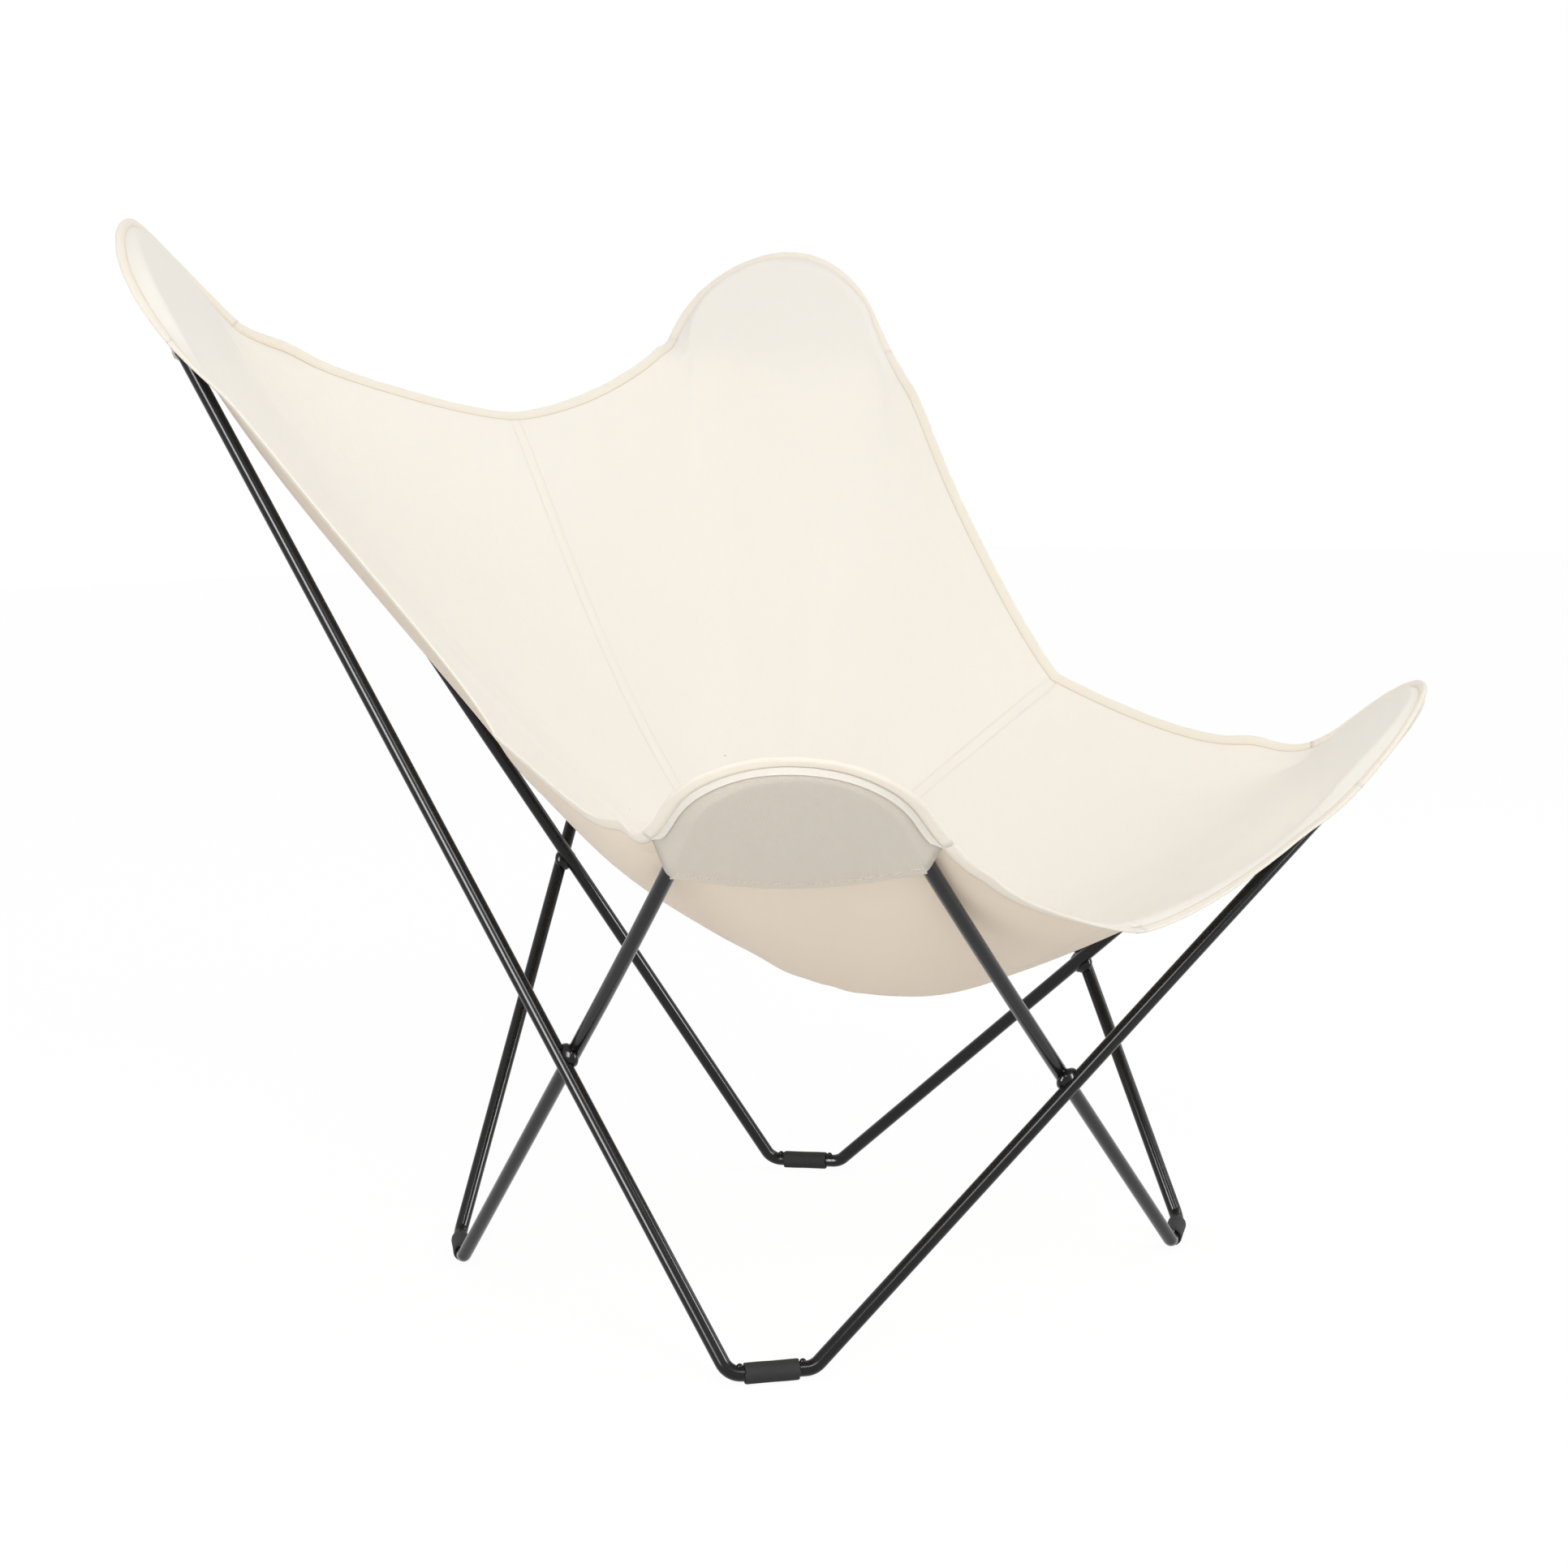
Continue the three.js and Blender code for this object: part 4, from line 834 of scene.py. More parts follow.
def make_rim(quarter, sling):
    """The seam line just inside the tape, and the tape's directions out and up. Round the lobe the
    line lies the spare away from the cloth on the rod, turned back about it by the tilt, and along
    a free edge it lies past the lip. Near a pocket's corner it is eased."""
    tilt, spare = quarter.tilt[:, None], quarter.spare[:, None]
    radius = quarter.wrap_radius
    along = quarter.out * np.cos(tilt) - quarter.up * np.sin(tilt)
    above = quarter.up * np.cos(tilt) + quarter.out * np.sin(tilt)
    flat = quarter.point + along * (radius * math.pi / 2 + sling.edge_spare + spare)
    on_lobe = quarter.point - quarter.up * radius + along * (radius + spare)
    seam = mix(flat, on_lobe, quarter.wrap)
    walked = travel(quarter.point)
    corners = np.array([EDGE_STEPS, len(tilt) - EDGE_STEPS - 1])
    away = np.abs(walked[:, None] - walked[corners]).min(1)
    near = 1 - smooth((away - sling.corner_ease / 3) / (sling.corner_ease * 2 / 3))
    seam, along, above = (mix(a, eased(a, RIM_EASE), near) for a in (seam, along, above))
    run = unit(np.gradient(seam, axis=0))
    quarter.seam = seam
    quarter.seam_out = unit(square(along, run))
    quarter.seam_up = unit(square(square(above, run), quarter.seam_out))


def make_sling(lines, sizes, sling):
    """All four quarters. Quarters that share a seam share its upward and outward directions."""
    quarters = {name: make_quarter(name, half, lines, sizes, sling) for name, half in lines.halves.items()}
    flat = np.array([0, 1, 1])
    for quarter in quarters.values():
        quarter.normals = cloth_normals(quarter)
        quarter.normals[:, -1] = unit(quarter.normals[:, -1] * flat)
        quarter.up[-1] = quarter.normals[-1, -1]
        quarter.out[-1] = unit(square(quarter.out[-1] * flat, quarter.up[-1]))
    for name in SIDES:
        high, low = quarters[f"high_{name}"], quarters[f"low_{name}"]
        mean = unit(high.normals[:, 0] + low.normals[:, 0])
        high.normals[:, 0] = low.normals[:, 0] = mean
        high.up[0] = low.up[0] = mean[-1]
        high.out[0] = low.out[0] = unit(square(high.out[0] + low.out[0], mean[-1]))
    for quarter in quarters.values():
        make_rim(quarter, sling)
        quarter.seam_out[-1] = unit(quarter.seam_out[-1] * flat)
        quarter.seam_up[-1] = unit(square(quarter.seam_up[-1] * flat, quarter.seam_out[-1]))
    for name in SIDES:
        high, low = quarters[f"high_{name}"], quarters[f"low_{name}"]
        out = unit(high.seam_out[0] + low.seam_out[0])
        high.seam_out[0] = low.seam_out[0] = out
        high.seam_up[0] = low.seam_up[0] = unit(square(high.seam_up[0] + low.seam_up[0], out))
    return quarters


def round_rod(station, side):
    """How cloth lies round the rod in each station's section, on the panel's side (-1) or the
    pocket's (1). It touches the rod as far as the angle where the tangent to the seam leaves it, and
    the tangent is r tan(opening) long, where cos(opening) is r over the seam's distance."""
    radius = station.wrap_radius
    centre = station.point - station.up * radius
    apart = station.seam - centre
    x, y = dot(apart, station.out), dot(apart, station.up)
    opening = np.arccos(np.minimum(radius / np.hypot(x, y), NEAREST_SEAM))
    leave = np.minimum(np.arctan2(x, y) + side * opening, math.pi - LEAVE_MARGIN)
    straight = radius * np.tan(opening)
    onward = station.out * np.cos(leave) - station.up * np.sin(leave)
    meets = centre + radius * (station.out * np.sin(leave) + station.up * np.cos(leave))
    return SimpleNamespace(radius=radius, centre=centre, leave=leave, straight=straight, onward=onward,
                           rest=station.seam - meets + side * straight * onward)


def over_rod(station, t):
    """Cloth of a panel from the lip (t = 0) to the seam (t = 1), and its upward direction: round the
    rod by an arc and its tangent, and along a free edge straight out with a drop of t^2."""
    way = round_rod(station, -1)
    walked = t * (way.radius * way.leave + way.straight)
    angle = np.minimum(walked / way.radius, way.leave)
    bent = station.out * np.sin(angle) + station.up * np.cos(angle)
    beyond = np.maximum(walked - way.radius * way.leave, 0)
    rounded = way.centre + way.radius * bent + beyond * way.onward + way.rest * t
    apart = station.seam - station.point
    drop = station.up * dot(apart, station.up)
    flat = station.point + (apart - drop) * t + drop * t**2
    return mix(flat, rounded, station.wrap), unit(mix(station.up, bent, station.wrap))


def under_rod(station, way, walked):
    """Cloth of a pocket some way from the seam, and its outward direction: along the tangent to the
    rod, round the rod to its underside, and then straight inward."""
    length_round = way.straight + way.radius * (math.pi - way.leave)
    angle = way.leave + np.maximum(walked - way.straight, 0) / way.radius
    inward = np.maximum(angle - math.pi, 0) * way.radius
    angle = np.minimum(angle, math.pi)
    bent = station.out * np.sin(angle) + station.up * np.cos(angle)
    before = np.maximum(way.straight - walked, 0)
    place = way.centre + way.radius * bent - before * way.onward - inward * station.out
    return place + way.rest * np.clip(1 - walked / length_round, 0, 1), bent


STATION_PARTS = ("point", "out", "up", "wrap", "seam", "seam_out", "seam_up")


def part_of(quarter, where):
    """Some of a quarter's stations."""
    return SimpleNamespace(wrap_radius=quarter.wrap_radius,
                           **{key: getattr(quarter, key)[where] for key in STATION_PARTS})


def joined(parts):
    """Stations one after the other."""
    return SimpleNamespace(wrap_radius=parts[0].wrap_radius, **{
        key: np.concatenate([getattr(p, key) for p in parts]) for key in STATION_PARTS})


def edge_part(quarter, end):
    """The free edge at one end of a quarter, from its middle to just past the pocket's corner."""
    count = len(quarter.wrap)
    last = EDGE_STEPS + EDGE_TUCK
    order = np.arange(last + 1) if end == 0 else np.arange(count - 1, count - last - 2, -1)
    return part_of(quarter, order)


def free_edge(first, second, end):
    """The free edge from one pocket's corner to the next."""
    a, b = edge_part(first, end), edge_part(second, end)
    return joined([part_of(a, slice(None, None, -1)), part_of(b, slice(1, None))])


# Sling pieces

def fan_map(grid):
    """Flat pattern of a quarter in metres: (distance sin w, distance cos w), where the distance is
    walked along the line of cloth, and w is the angle walked round the crossing."""
    steps = np.linalg.norm(np.diff(grid, axis=0), axis=-1)
    walked = np.vstack([np.zeros(grid.shape[1]), np.cumsum(steps, axis=0)])
    ring = 3 * len(grid) // 4
    across = np.linalg.norm(np.diff(grid[ring], axis=0), axis=-1)
    mean = (walked[ring, 1:] + walked[ring, :-1]) / 2
    outward = np.diff(walked[ring])
    turned = np.sqrt(np.maximum(across**2 - outward**2, 1e-12)) / mean
    angle = np.concatenate([[0], np.cumsum(turned)])
    angle -= angle[len(angle) // 2]
    return np.stack([walked * np.sin(angle), walked * np.cos(angle)], -1)


def panel_piece(quarter, sling, material):
    """A panel: the grid of cloth with soft folds, then its wrap over the rod. The folds are a wave
    from seam to seam, strongest half way out and nothing at the seams and the rim."""
    rows = quarter.rows
    across = np.linspace(0, 1, quarter.grid.shape[1])
    envelope = np.sin(math.pi * rows)[:, None] ** 1.5 * np.sin(math.pi * across)[None] ** 2
    seed = 11 + QUARTERS.index(quarter.name)
    folds = wobble(across[None] + SLANT_ACROSS * rows[:, None], FOLDS_ACROSS, seed)
    folds = folds + OUTWARD_HEIGHT * wobble(rows[:, None] + SLANT_OUTWARD * across[None], FOLDS_OUTWARD,
                                            seed + 40)
    grid = quarter.grid + quarter.normals * (sling.ripple * envelope * folds)[..., None]
    turned = [over_rod(quarter, (i + 1) / WRAP_STEPS) for i in range(WRAP_STEPS)]
    points = np.concatenate([grid, np.stack([p for p, _ in turned])])
    ups = np.concatenate([quarter.normals, np.stack([u for _, u in turned])])
    half = sling.canvas / 2
    return sheet_piece(f"{quarter.name}_cloth", points + ups * half, points - ups * half,
                       fan_map(points), material)


def tape_shape(stations, sling, seed, flap):
    """Half the tape's height over its width, for each station: pressed where it is sewn, full in the
    middle and round at its fold. With u the share of the width it is h (pressed + (1 - pressed)
    smooth(u / rises)) sqrt(1 - over^2), where over is how far u is into the rounding. The wobbles of
    a tape fade out at its ends, and an edge's tape is a little smaller there."""
    walked = travel(stations.seam)
    from_end = np.minimum(walked, walked[-1] - walked)
    loose = smooth(from_end / TAPE_LOOSE)
    (high, high_waves), (wide, wide_waves) = TAPE_WANDER["height"], TAPE_WANDER["width"]
    full = stations.wrap[:, None]
    half = sling.binding_thickness * (1 - full) + sling.roll_thickness * full
    half = half / 2 * (1 + high * loose * wobble(walked, high_waves, seed + 5))[:, None]
    tucked = 1 if flap else TUCKED + TUCKED_GAIN * smooth(from_end / TUCKED_REACH)[:, None]
    u = np.sin(np.linspace(0, 1, TAPE_STEPS) * math.pi / 2)[None]
    rounding = 1 - half * TAPE_ROUNDING / sling.binding_width
    over = np.clip((u - rounding) / (1 - rounding), 0, 1)
    pressed = PRESSED - PRESSED_LESS * full
    height = half * (pressed + (1 - pressed) * smooth(u / TAPE_RISES)) * np.sqrt(1 - over**2)
    across = u * sling.binding_width * (1 + wide * loose * wobble(walked, wide_waves, seed))[:, None]
    return walked, across * tucked, height * tucked


def binding_piece(name, stations, sling, material, seed, flap):
    """Folded tape carried along the seam line, from its inner border over its fold and back. Round a
    pocket its underside goes on as a flap that lies on the pocket and narrows at its ends."""
    walked, across, height = tape_shape(stations, sling, seed, flap)
    root = stations.seam - stations.seam_out * sling.canvas * TAPE_OVERLAP
    top, bottom = (root[:, None] + stations.seam_out[:, None] * across[..., None]
                   + stations.seam_up[:, None] * height[..., None] * s for s in (1, -1))
    rings = [top, bottom[:, -2::-1]]
    # The border value marks the tape's inner border on both faces, where the material paints a tan shade.
    border = np.zeros(2 * TAPE_STEPS - 1)
    border[[0, -1]] = 1
    if flap:
        way = round_rod(stations, 1)
        inside = smooth(np.minimum(walked, walked[-1] - walked) / FLAP_NARROWS)[:, None]
        narrow = FLAP_END + (1 - FLAP_END) * inside
        reach = sling.facing_width * vector(*FLAP_REACHES)
        lift = sling.canvas / 2 + vector(*FLAP_RISES) * MM
        for distance, rise in zip(reach, lift):
            place, bent = under_rod(stations, way, distance * narrow)
            rings.append((place + bent * rise)[:, None])
        border = np.concatenate([border, np.zeros(len(reach))])
    rings = np.concatenate(rings, axis=1)
    girth = np.linalg.norm(np.diff(rings, axis=1), axis=-1)
    girth = np.concatenate([np.zeros((len(girth), 1)), np.cumsum(girth, axis=1)], axis=1)
    uvs = np.stack([np.broadcast_to(walked[:, None], girth.shape), girth], -1)
    return tube_piece(name, rings, material, uvs, border)


def tape_rows(stations, sling, seed, flap):
    """The two rows of stitches that hold a tape, above and below its inner border."""
    _, across, height = tape_shape(stations, sling, seed, flap)
    inward = sling.canvas * TAPE_OVERLAP
    root = stations.seam + stations.seam_out * (across[:, TAPE_SEWN] - inward)[:, None]
    lift = stations.seam_up * (height[:, TAPE_SEWN] - sling.thread * SUNK["tape"])[:, None]
    return [(root + lift, stations.seam_up), (root - lift, -stations.seam_up)]


def pocket_grid(quarter, sling):
    """The middle surface of a pocket, its outward directions, and its thickness row by row. It comes
    from the seam round the rod's underside, runs flat to its mouth and ends in a turned hem. Near
    a leg it slips down the rod as it goes round, so that its end covers the rod aslant. The
    mouth sags by a sine between the legs, and the flat part is slightly full."""
    lobe = quarter.lobe
    station = part_of(quarter, quarter.held)
    below = -lobe.normal
    count = len(station.wrap)
    across = np.linspace(0, 1, count)
    way = round_rod(station, 1)
    length_round = way.straight + way.radius * (math.pi - way.leave)
    under = way.centre + below * way.radius
    hang = [-leg.arrive for leg in (lobe.a, lobe.b)]
    corners = [under[0] + hang[0] * sling.hem_width, under[-1] + hang[1] * sling.hem_width]
    index = np.arange(count)[:, None]
    slip = SLIP * sling.hem_width * (hang[0] * np.clip(1 - index / SLIP_COLUMNS, 0, 1)
                                     + hang[1] * np.clip(1 - (count - 1 - index) / SLIP_COLUMNS, 0, 1))
    turned = []
    for i in range(WRAP_STEPS):
        place, up = under_rod(station, way, length_round * i / WRAP_STEPS)
        turned.append((place + slip * i / WRAP_STEPS, up))
    under = under + slip
    mouth = mix(corners[0][None], corners[1][None], across)
    mouth = mouth + lobe.down * (sling.pocket_sag * np.sin(math.pi * across))[:, None]
    hem = np.minimum(sling.hem_width / np.linalg.norm(mouth - under, axis=-1), HEM_MOST)
    plain = np.linspace(0, 1, POCKET_ROWS)[:, None] * (1 - hem)[None]
    band = (1 - hem)[None] + vector(*HEM_FIRST_ROWS)[:, None] * hem[None]
    last = (1 - hem)[None] + np.linspace(HEM_EVEN_FROM, 1, HEM_EVEN_ROWS)[:, None] * hem[None]
    shares = np.concatenate([plain, band, last])
    full = np.sin(math.pi * across)[None] ** 2 * np.sin(math.pi * np.clip(shares, 0, 1))
    full = full * sling.pocket_full
    flat = mix(np.broadcast_to(under, (len(shares), count, 3)),
               np.broadcast_to(mouth, (len(shares), count, 3)), shares) + below * full[..., None]
    middle = np.concatenate([np.stack([p for p, _ in turned]), flat])
    ups = np.concatenate([np.stack([u for _, u in turned]), np.broadcast_to(below, flat.shape)])
    thick = np.full(len(middle), sling.canvas)
    thick[HEM_SEWN - 1:] = sling.hem_thickness
    thick[HEM_SEWN] *= HEM_PRESSED
    thick[-2:] *= vector(*HEM_ROUNDED)
    return middle, ups, thick


def pocket_piece(quarter, sling, material):
    """A pocket under a lobe, mapped flat: across and along the lobe, and on outward round the rod."""
    middle, ups, thick = pocket_grid(quarter, sling)
    outer = middle + ups * (thick - sling.canvas / 2)[:, None, None]
    steps = np.linalg.norm(np.diff(middle[:WRAP_STEPS + 1], axis=0), axis=-1)
    turned = np.cumsum(steps[::-1], axis=0)[::-1]
    flat = np.stack([quarter.lobe.side, quarter.lobe.down], -1)
    uvs = (middle - quarter.lobe.centre) @ flat
    uvs[:WRAP_STEPS] = uvs[WRAP_STEPS] + (quarter.out[quarter.held] @ flat) * turned[..., None]
    inner = middle - ups * sling.canvas / 2
    return sheet_piece(f"{quarter.name}_pocket_cloth", outer, inner, uvs, material)


def hem_rows(quarter, sling):
    """The row of stitches along the hem of a pocket's mouth."""
    middle, ups, _ = pocket_grid(quarter, sling)
    lift = sling.hem_thickness * HEM_PRESSED - sling.canvas / 2 - sling.thread * SUNK["hem"]
    return [((middle[HEM_SEWN] + ups[HEM_SEWN] * lift)[1:-1], ups[HEM_SEWN, 1:-1])]


def seam_section(quarter, neighbour, end, sling):
    """The upper and lower face of a felled seam, a band a little proud of the cloth on both sides,
    from just past the crossing to the rim. Its section bends from one panel into the other. It
    rises by canvas / 2 + rise (1 - far^8), less a groove where it is sewn."""
    column, beside, further = (0, BESIDE, ROOM) if end == 0 else (-1, -1 - BESIDE, -1 - ROOM)

    def line(q, at):
        """A line of cloth of a panel, carried on over the lip to the tape."""
        past = [over_rod(part_of(q, [at]), t)[0] for t in LIP_SHARES]
        return np.vstack([q.grid[SEAM_START:, at], *past])

    middle = line(quarter, column)
    last = quarter.normals[-1, column]
    up = np.vstack([quarter.normals[SEAM_START:, column], np.tile(last, (len(LIP_SHARES), 1))])
    run = unit(np.gradient(middle, axis=0))
    up = unit(square(up, run))
    wings = [unit(square(line(q, beside) - middle, run)) for q in (quarter, neighbour)]
    wing_ups = [unit(square(up, wing)) for wing in wings]
    x = np.sin(np.linspace(-1, 1, SEAM_POINTS) * math.pi / 2)
    far = np.abs(x)
    room = np.linalg.norm(line(quarter, further) - middle, axis=-1)
    width = np.minimum(sling.seam_width / 2, ROOM_SHARE * room)[:, None, None]
    wing = np.where((x < 0)[None, :, None], wings[1][:, None], wings[0][:, None])
    wing_up = np.where((x < 0)[None, :, None], wing_ups[1][:, None], wing_ups[0][:, None])
    face = unit(mix(np.broadcast_to(up[:, None], wing_up.shape), wing_up,
                    np.broadcast_to(smooth(far * SEAM_TURNS), wing_up.shape[:2])))
    centre = middle[:, None] + wing * far[None, :, None] * width
    rise = sling.canvas / 2 + sling.seam_rise * (1 - far**8)[None, :, None]
    groove = np.exp(-((far - GROOVE_PLACE) / GROOVE_REACH) ** 2)
    rise = rise - sling.seam_rise * GROOVE_DEPTH * groove[None, :, None]
    return middle, x, centre, face, rise


def seam_piece(name, quarter, neighbour, end, sling, material):
    """A felled seam as one closed band. Its border value is 1 on the lower face, where the material
    paints the shade of the underside.
    """
    middle, x, centre, face, rise = seam_section(quarter, neighbour, end, sling)
    rings = np.concatenate([centre + face * rise, (centre - face * rise)[:, ::-1]], axis=1)
    girth = np.concatenate([x, x[::-1] + 2]) * sling.seam_width / 2
    uvs = np.stack(np.broadcast_arrays(travel(middle)[:, None], girth[None]), -1)
    below = np.broadcast_to(np.repeat([0.0, 1.0], len(x)), rings.shape[:2])
    return tube_piece(name, rings, material, uvs, below)


def seam_rows(quarter, neighbour, end, sling):
    """The four rows of stitches of a felled seam, two on each side of the cloth."""
    _, _, centre, face, rise = seam_section(quarter, neighbour, end, sling)
    rows = []
    for j in SEAM_SEWN:
        lift = face[:, j] * (rise[:, j] - sling.thread * SUNK["seam"])
        rows += [((centre[:, j] + s * lift)[STITCHES_START:], s * face[STITCHES_START:, j]) for s in (1, -1)]
    return rows


# Shader groups

def node_group(name, inputs, outputs):
    """An empty shader group with the given sockets, and its input and output nodes."""
    group = bpy.data.node_groups.new(name, "ShaderNodeTree")
    for label, kind, value in inputs:
        socket = group.interface.new_socket(label, in_out="INPUT", socket_type=kind)
        if value is not None:
            socket.default_value = value
    for label, kind in outputs:
        group.interface.new_socket(label, in_out="OUTPUT", socket_type=kind)
    return group, group.nodes.new("NodeGroupInput"), group.nodes.new("NodeGroupOutput")


def maths(tree, operation, *values):
    """A Math node whose inputs are sockets or numbers; gives its output socket."""
    node = tree.nodes.new("ShaderNodeMath")
    node.operation = operation
    for socket, value in zip(node.inputs, values):
        if hasattr(value, "is_output"):
            tree.links.new(value, socket)
        else:
            socket.default_value = value
    return node.outputs[0]


def noise(tree, vector_socket, scale, detail=2.0, roughness=0.5):
    """A Noise Texture on a vector; gives its Fac socket."""
    node = tree.nodes.new("ShaderNodeTexNoise")
    node.inputs["Detail"].default_value = detail
    node.inputs["Roughness"].default_value = roughness
    if hasattr(scale, "is_output"):
        tree.links.new(scale, node.inputs["Scale"])
    else:
        node.inputs["Scale"].default_value = scale
    tree.links.new(vector_socket, node.inputs["Vector"])
    return node.outputs["Fac"]


def blended(tree, factor, a, b):
    """Mixes two colours by a factor; gives the colour socket."""
    node = tree.nodes.new("ShaderNodeMix")
    node.data_type = "RGBA"
    for label, value in (("Factor", factor), ("A", a), ("B", b)):
        socket = next(s for s in node.inputs if s.name == label and s.enabled)
        if hasattr(value, "is_output"):
            tree.links.new(value, socket)
        else:
            socket.default_value = value
    return next(s for s in node.outputs if s.enabled)


def weave_group():
    """Threads over and under each other. With u and v the place in threads, the height is |sin pi u|
    where warp is on top and |sin pi v| where weft is. A plain weave changes over like a chequer, a
    twill along diagonals. Slubs make some threads fuller."""
    group, source, target = node_group(
        "Chair weave", [("Vector", "NodeSocketVector", None), ("Threads", "NodeSocketFloat", 1100.0),
                        ("Twill", "NodeSocketFloat", 0.0)],
        [("Height", "NodeSocketFloat"), ("Gaps", "NodeSocketFloat")])
    split = group.nodes.new("ShaderNodeSeparateXYZ")
    wander = group.nodes.new("ShaderNodeVectorMath")
    wander.operation = "SCALE"
    group.links.new(source.outputs["Vector"], wander.inputs[0])
    group.links.new(source.outputs["Threads"], wander.inputs["Scale"])
    group.links.new(wander.outputs[0], split.inputs[0])
    drift = maths(group, "MULTIPLY", noise(group, wander.outputs[0], 0.35), 0.8)
    u = maths(group, "ADD", split.outputs["X"], drift)
    v = maths(group, "ADD", split.outputs["Y"], drift)
    sines = [maths(group, "SINE", maths(group, "MULTIPLY", part, math.pi)) for part in (u, v)]
    warp, weft = (maths(group, "ABSOLUTE", sine) for sine in sines)
    chequer = maths(group, "MULTIPLY", *sines)
    diagonal = maths(group, "SINE", maths(group, "MULTIPLY", maths(group, "ADD", u, v), math.pi / 2))
    twill = source.outputs["Twill"]
    over = maths(group, "ADD", maths(group, "MULTIPLY", diagonal, twill),
                 maths(group, "MULTIPLY", chequer, maths(group, "SUBTRACT", 1.0, twill)))
    choice = group.nodes.new("ShaderNodeMapRange")
    choice.interpolation_type = "SMOOTHSTEP"
    choice.inputs["From Min"].default_value = -0.35
    choice.inputs["From Max"].default_value = 0.35
    group.links.new(over, choice.inputs["Value"])
    top = maths(group, "MULTIPLY", warp, choice.outputs[0])
    under = maths(group, "MULTIPLY", weft, maths(group, "SUBTRACT", 1.0, choice.outputs[0]))
    height = maths(group, "ADD", top, under)
    slub = noise(group, wander.outputs[0], 0.16, detail=3.0, roughness=0.6)
    slub = maths(group, "MULTIPLY", slub, 0.6)
    group.links.new(maths(group, "ADD", height, slub), target.inputs["Height"])
    # The gaps are where the cloth's colour is painted darker, as shade between the threads.
    group.links.new(maths(group, "SUBTRACT", 1.0, height), target.inputs["Gaps"])
    return group


def marks_group():
    """Broad patches and small dark flecks of seed husk in undyed cotton, as two masks."""
    group, source, target = node_group(
        "Chair cotton marks", [("Vector", "NodeSocketVector", None)],
        [("Patches", "NodeSocketFloat"), ("Flecks", "NodeSocketFloat")])
    patches = noise(group, source.outputs["Vector"], 7.0, detail=4.0, roughness=0.55)
    cells = group.nodes.new("ShaderNodeTexVoronoi")
    cells.inputs["Scale"].default_value = 26.0
    group.links.new(source.outputs["Vector"], cells.inputs["Vector"])
    spot = maths(group, "LESS_THAN", cells.outputs["Distance"], 0.028)
    rare = group.nodes.new("ShaderNodeSeparateColor")
    group.links.new(cells.outputs["Color"], rare.inputs[0])
    flecks = maths(group, "MULTIPLY", spot, maths(group, "GREATER_THAN", rare.outputs[0], 0.86))
    group.links.new(patches, target.inputs["Patches"])
    group.links.new(flecks, target.inputs["Flecks"])
    return group


def skin_group():
    """Fine and coarse unevenness of a coated or moulded surface: a height, and a mask of dull spots."""
    group, source, target = node_group(
        "Chair skin", [("Vector", "NodeSocketVector", None), ("Fineness", "NodeSocketFloat", 400.0)],
        [("Height", "NodeSocketFloat"), ("Dull", "NodeSocketFloat")])
    fine, coarse = (noise(group, source.outputs["Vector"], scale, detail=3.0, roughness=0.6)
                    for scale in (source.outputs["Fineness"], 30.0))
    height = maths(group, "ADD", fine, maths(group, "MULTIPLY", coarse, 0.5))
    group.links.new(height, target.inputs["Height"])
    group.links.new(coarse, target.inputs["Dull"])
    return group


GROUP_MAKERS = {"Chair weave": weave_group, "Chair cotton marks": marks_group, "Chair skin": skin_group}


def placed_group(tree, name, vector_socket, **values):
    """A shared group placed in a material, made the first time it is asked for."""
    node = tree.nodes.new("ShaderNodeGroup")
    node.node_tree = bpy.data.node_groups.get(name) or GROUP_MAKERS[name]()
    tree.links.new(vector_socket, node.inputs["Vector"])
    for label, value in values.items():
        node.inputs[label].default_value = value
    return node


def new_material(name, roughness, specular):
    """A material with a Principled shader; gives the material, its tree and the shader."""
    material = bpy.data.materials.new(name)
    material.use_nodes = True
    tree = material.node_tree
    shader = tree.nodes["Principled BSDF"]
    shader.inputs["Roughness"].default_value = roughness
    shader.inputs["Specular IOR Level"].default_value = specular
    return material, tree, shader


def bump(tree, shader, height, strength, distance):
    """Turns a height into the shader's normal."""
    node = tree.nodes.new("ShaderNodeBump")
    node.inputs["Strength"].default_value = strength
    node.inputs["Distance"].default_value = distance
    tree.links.new(height, node.inputs["Height"])
    tree.links.new(node.outputs[0], shader.inputs["Normal"])


def shade(base, factor):
    """A colour with its channels multiplied, as a four-part colour."""
    return tuple(c * f for c, f in zip(base, factor)) + (1.0,)


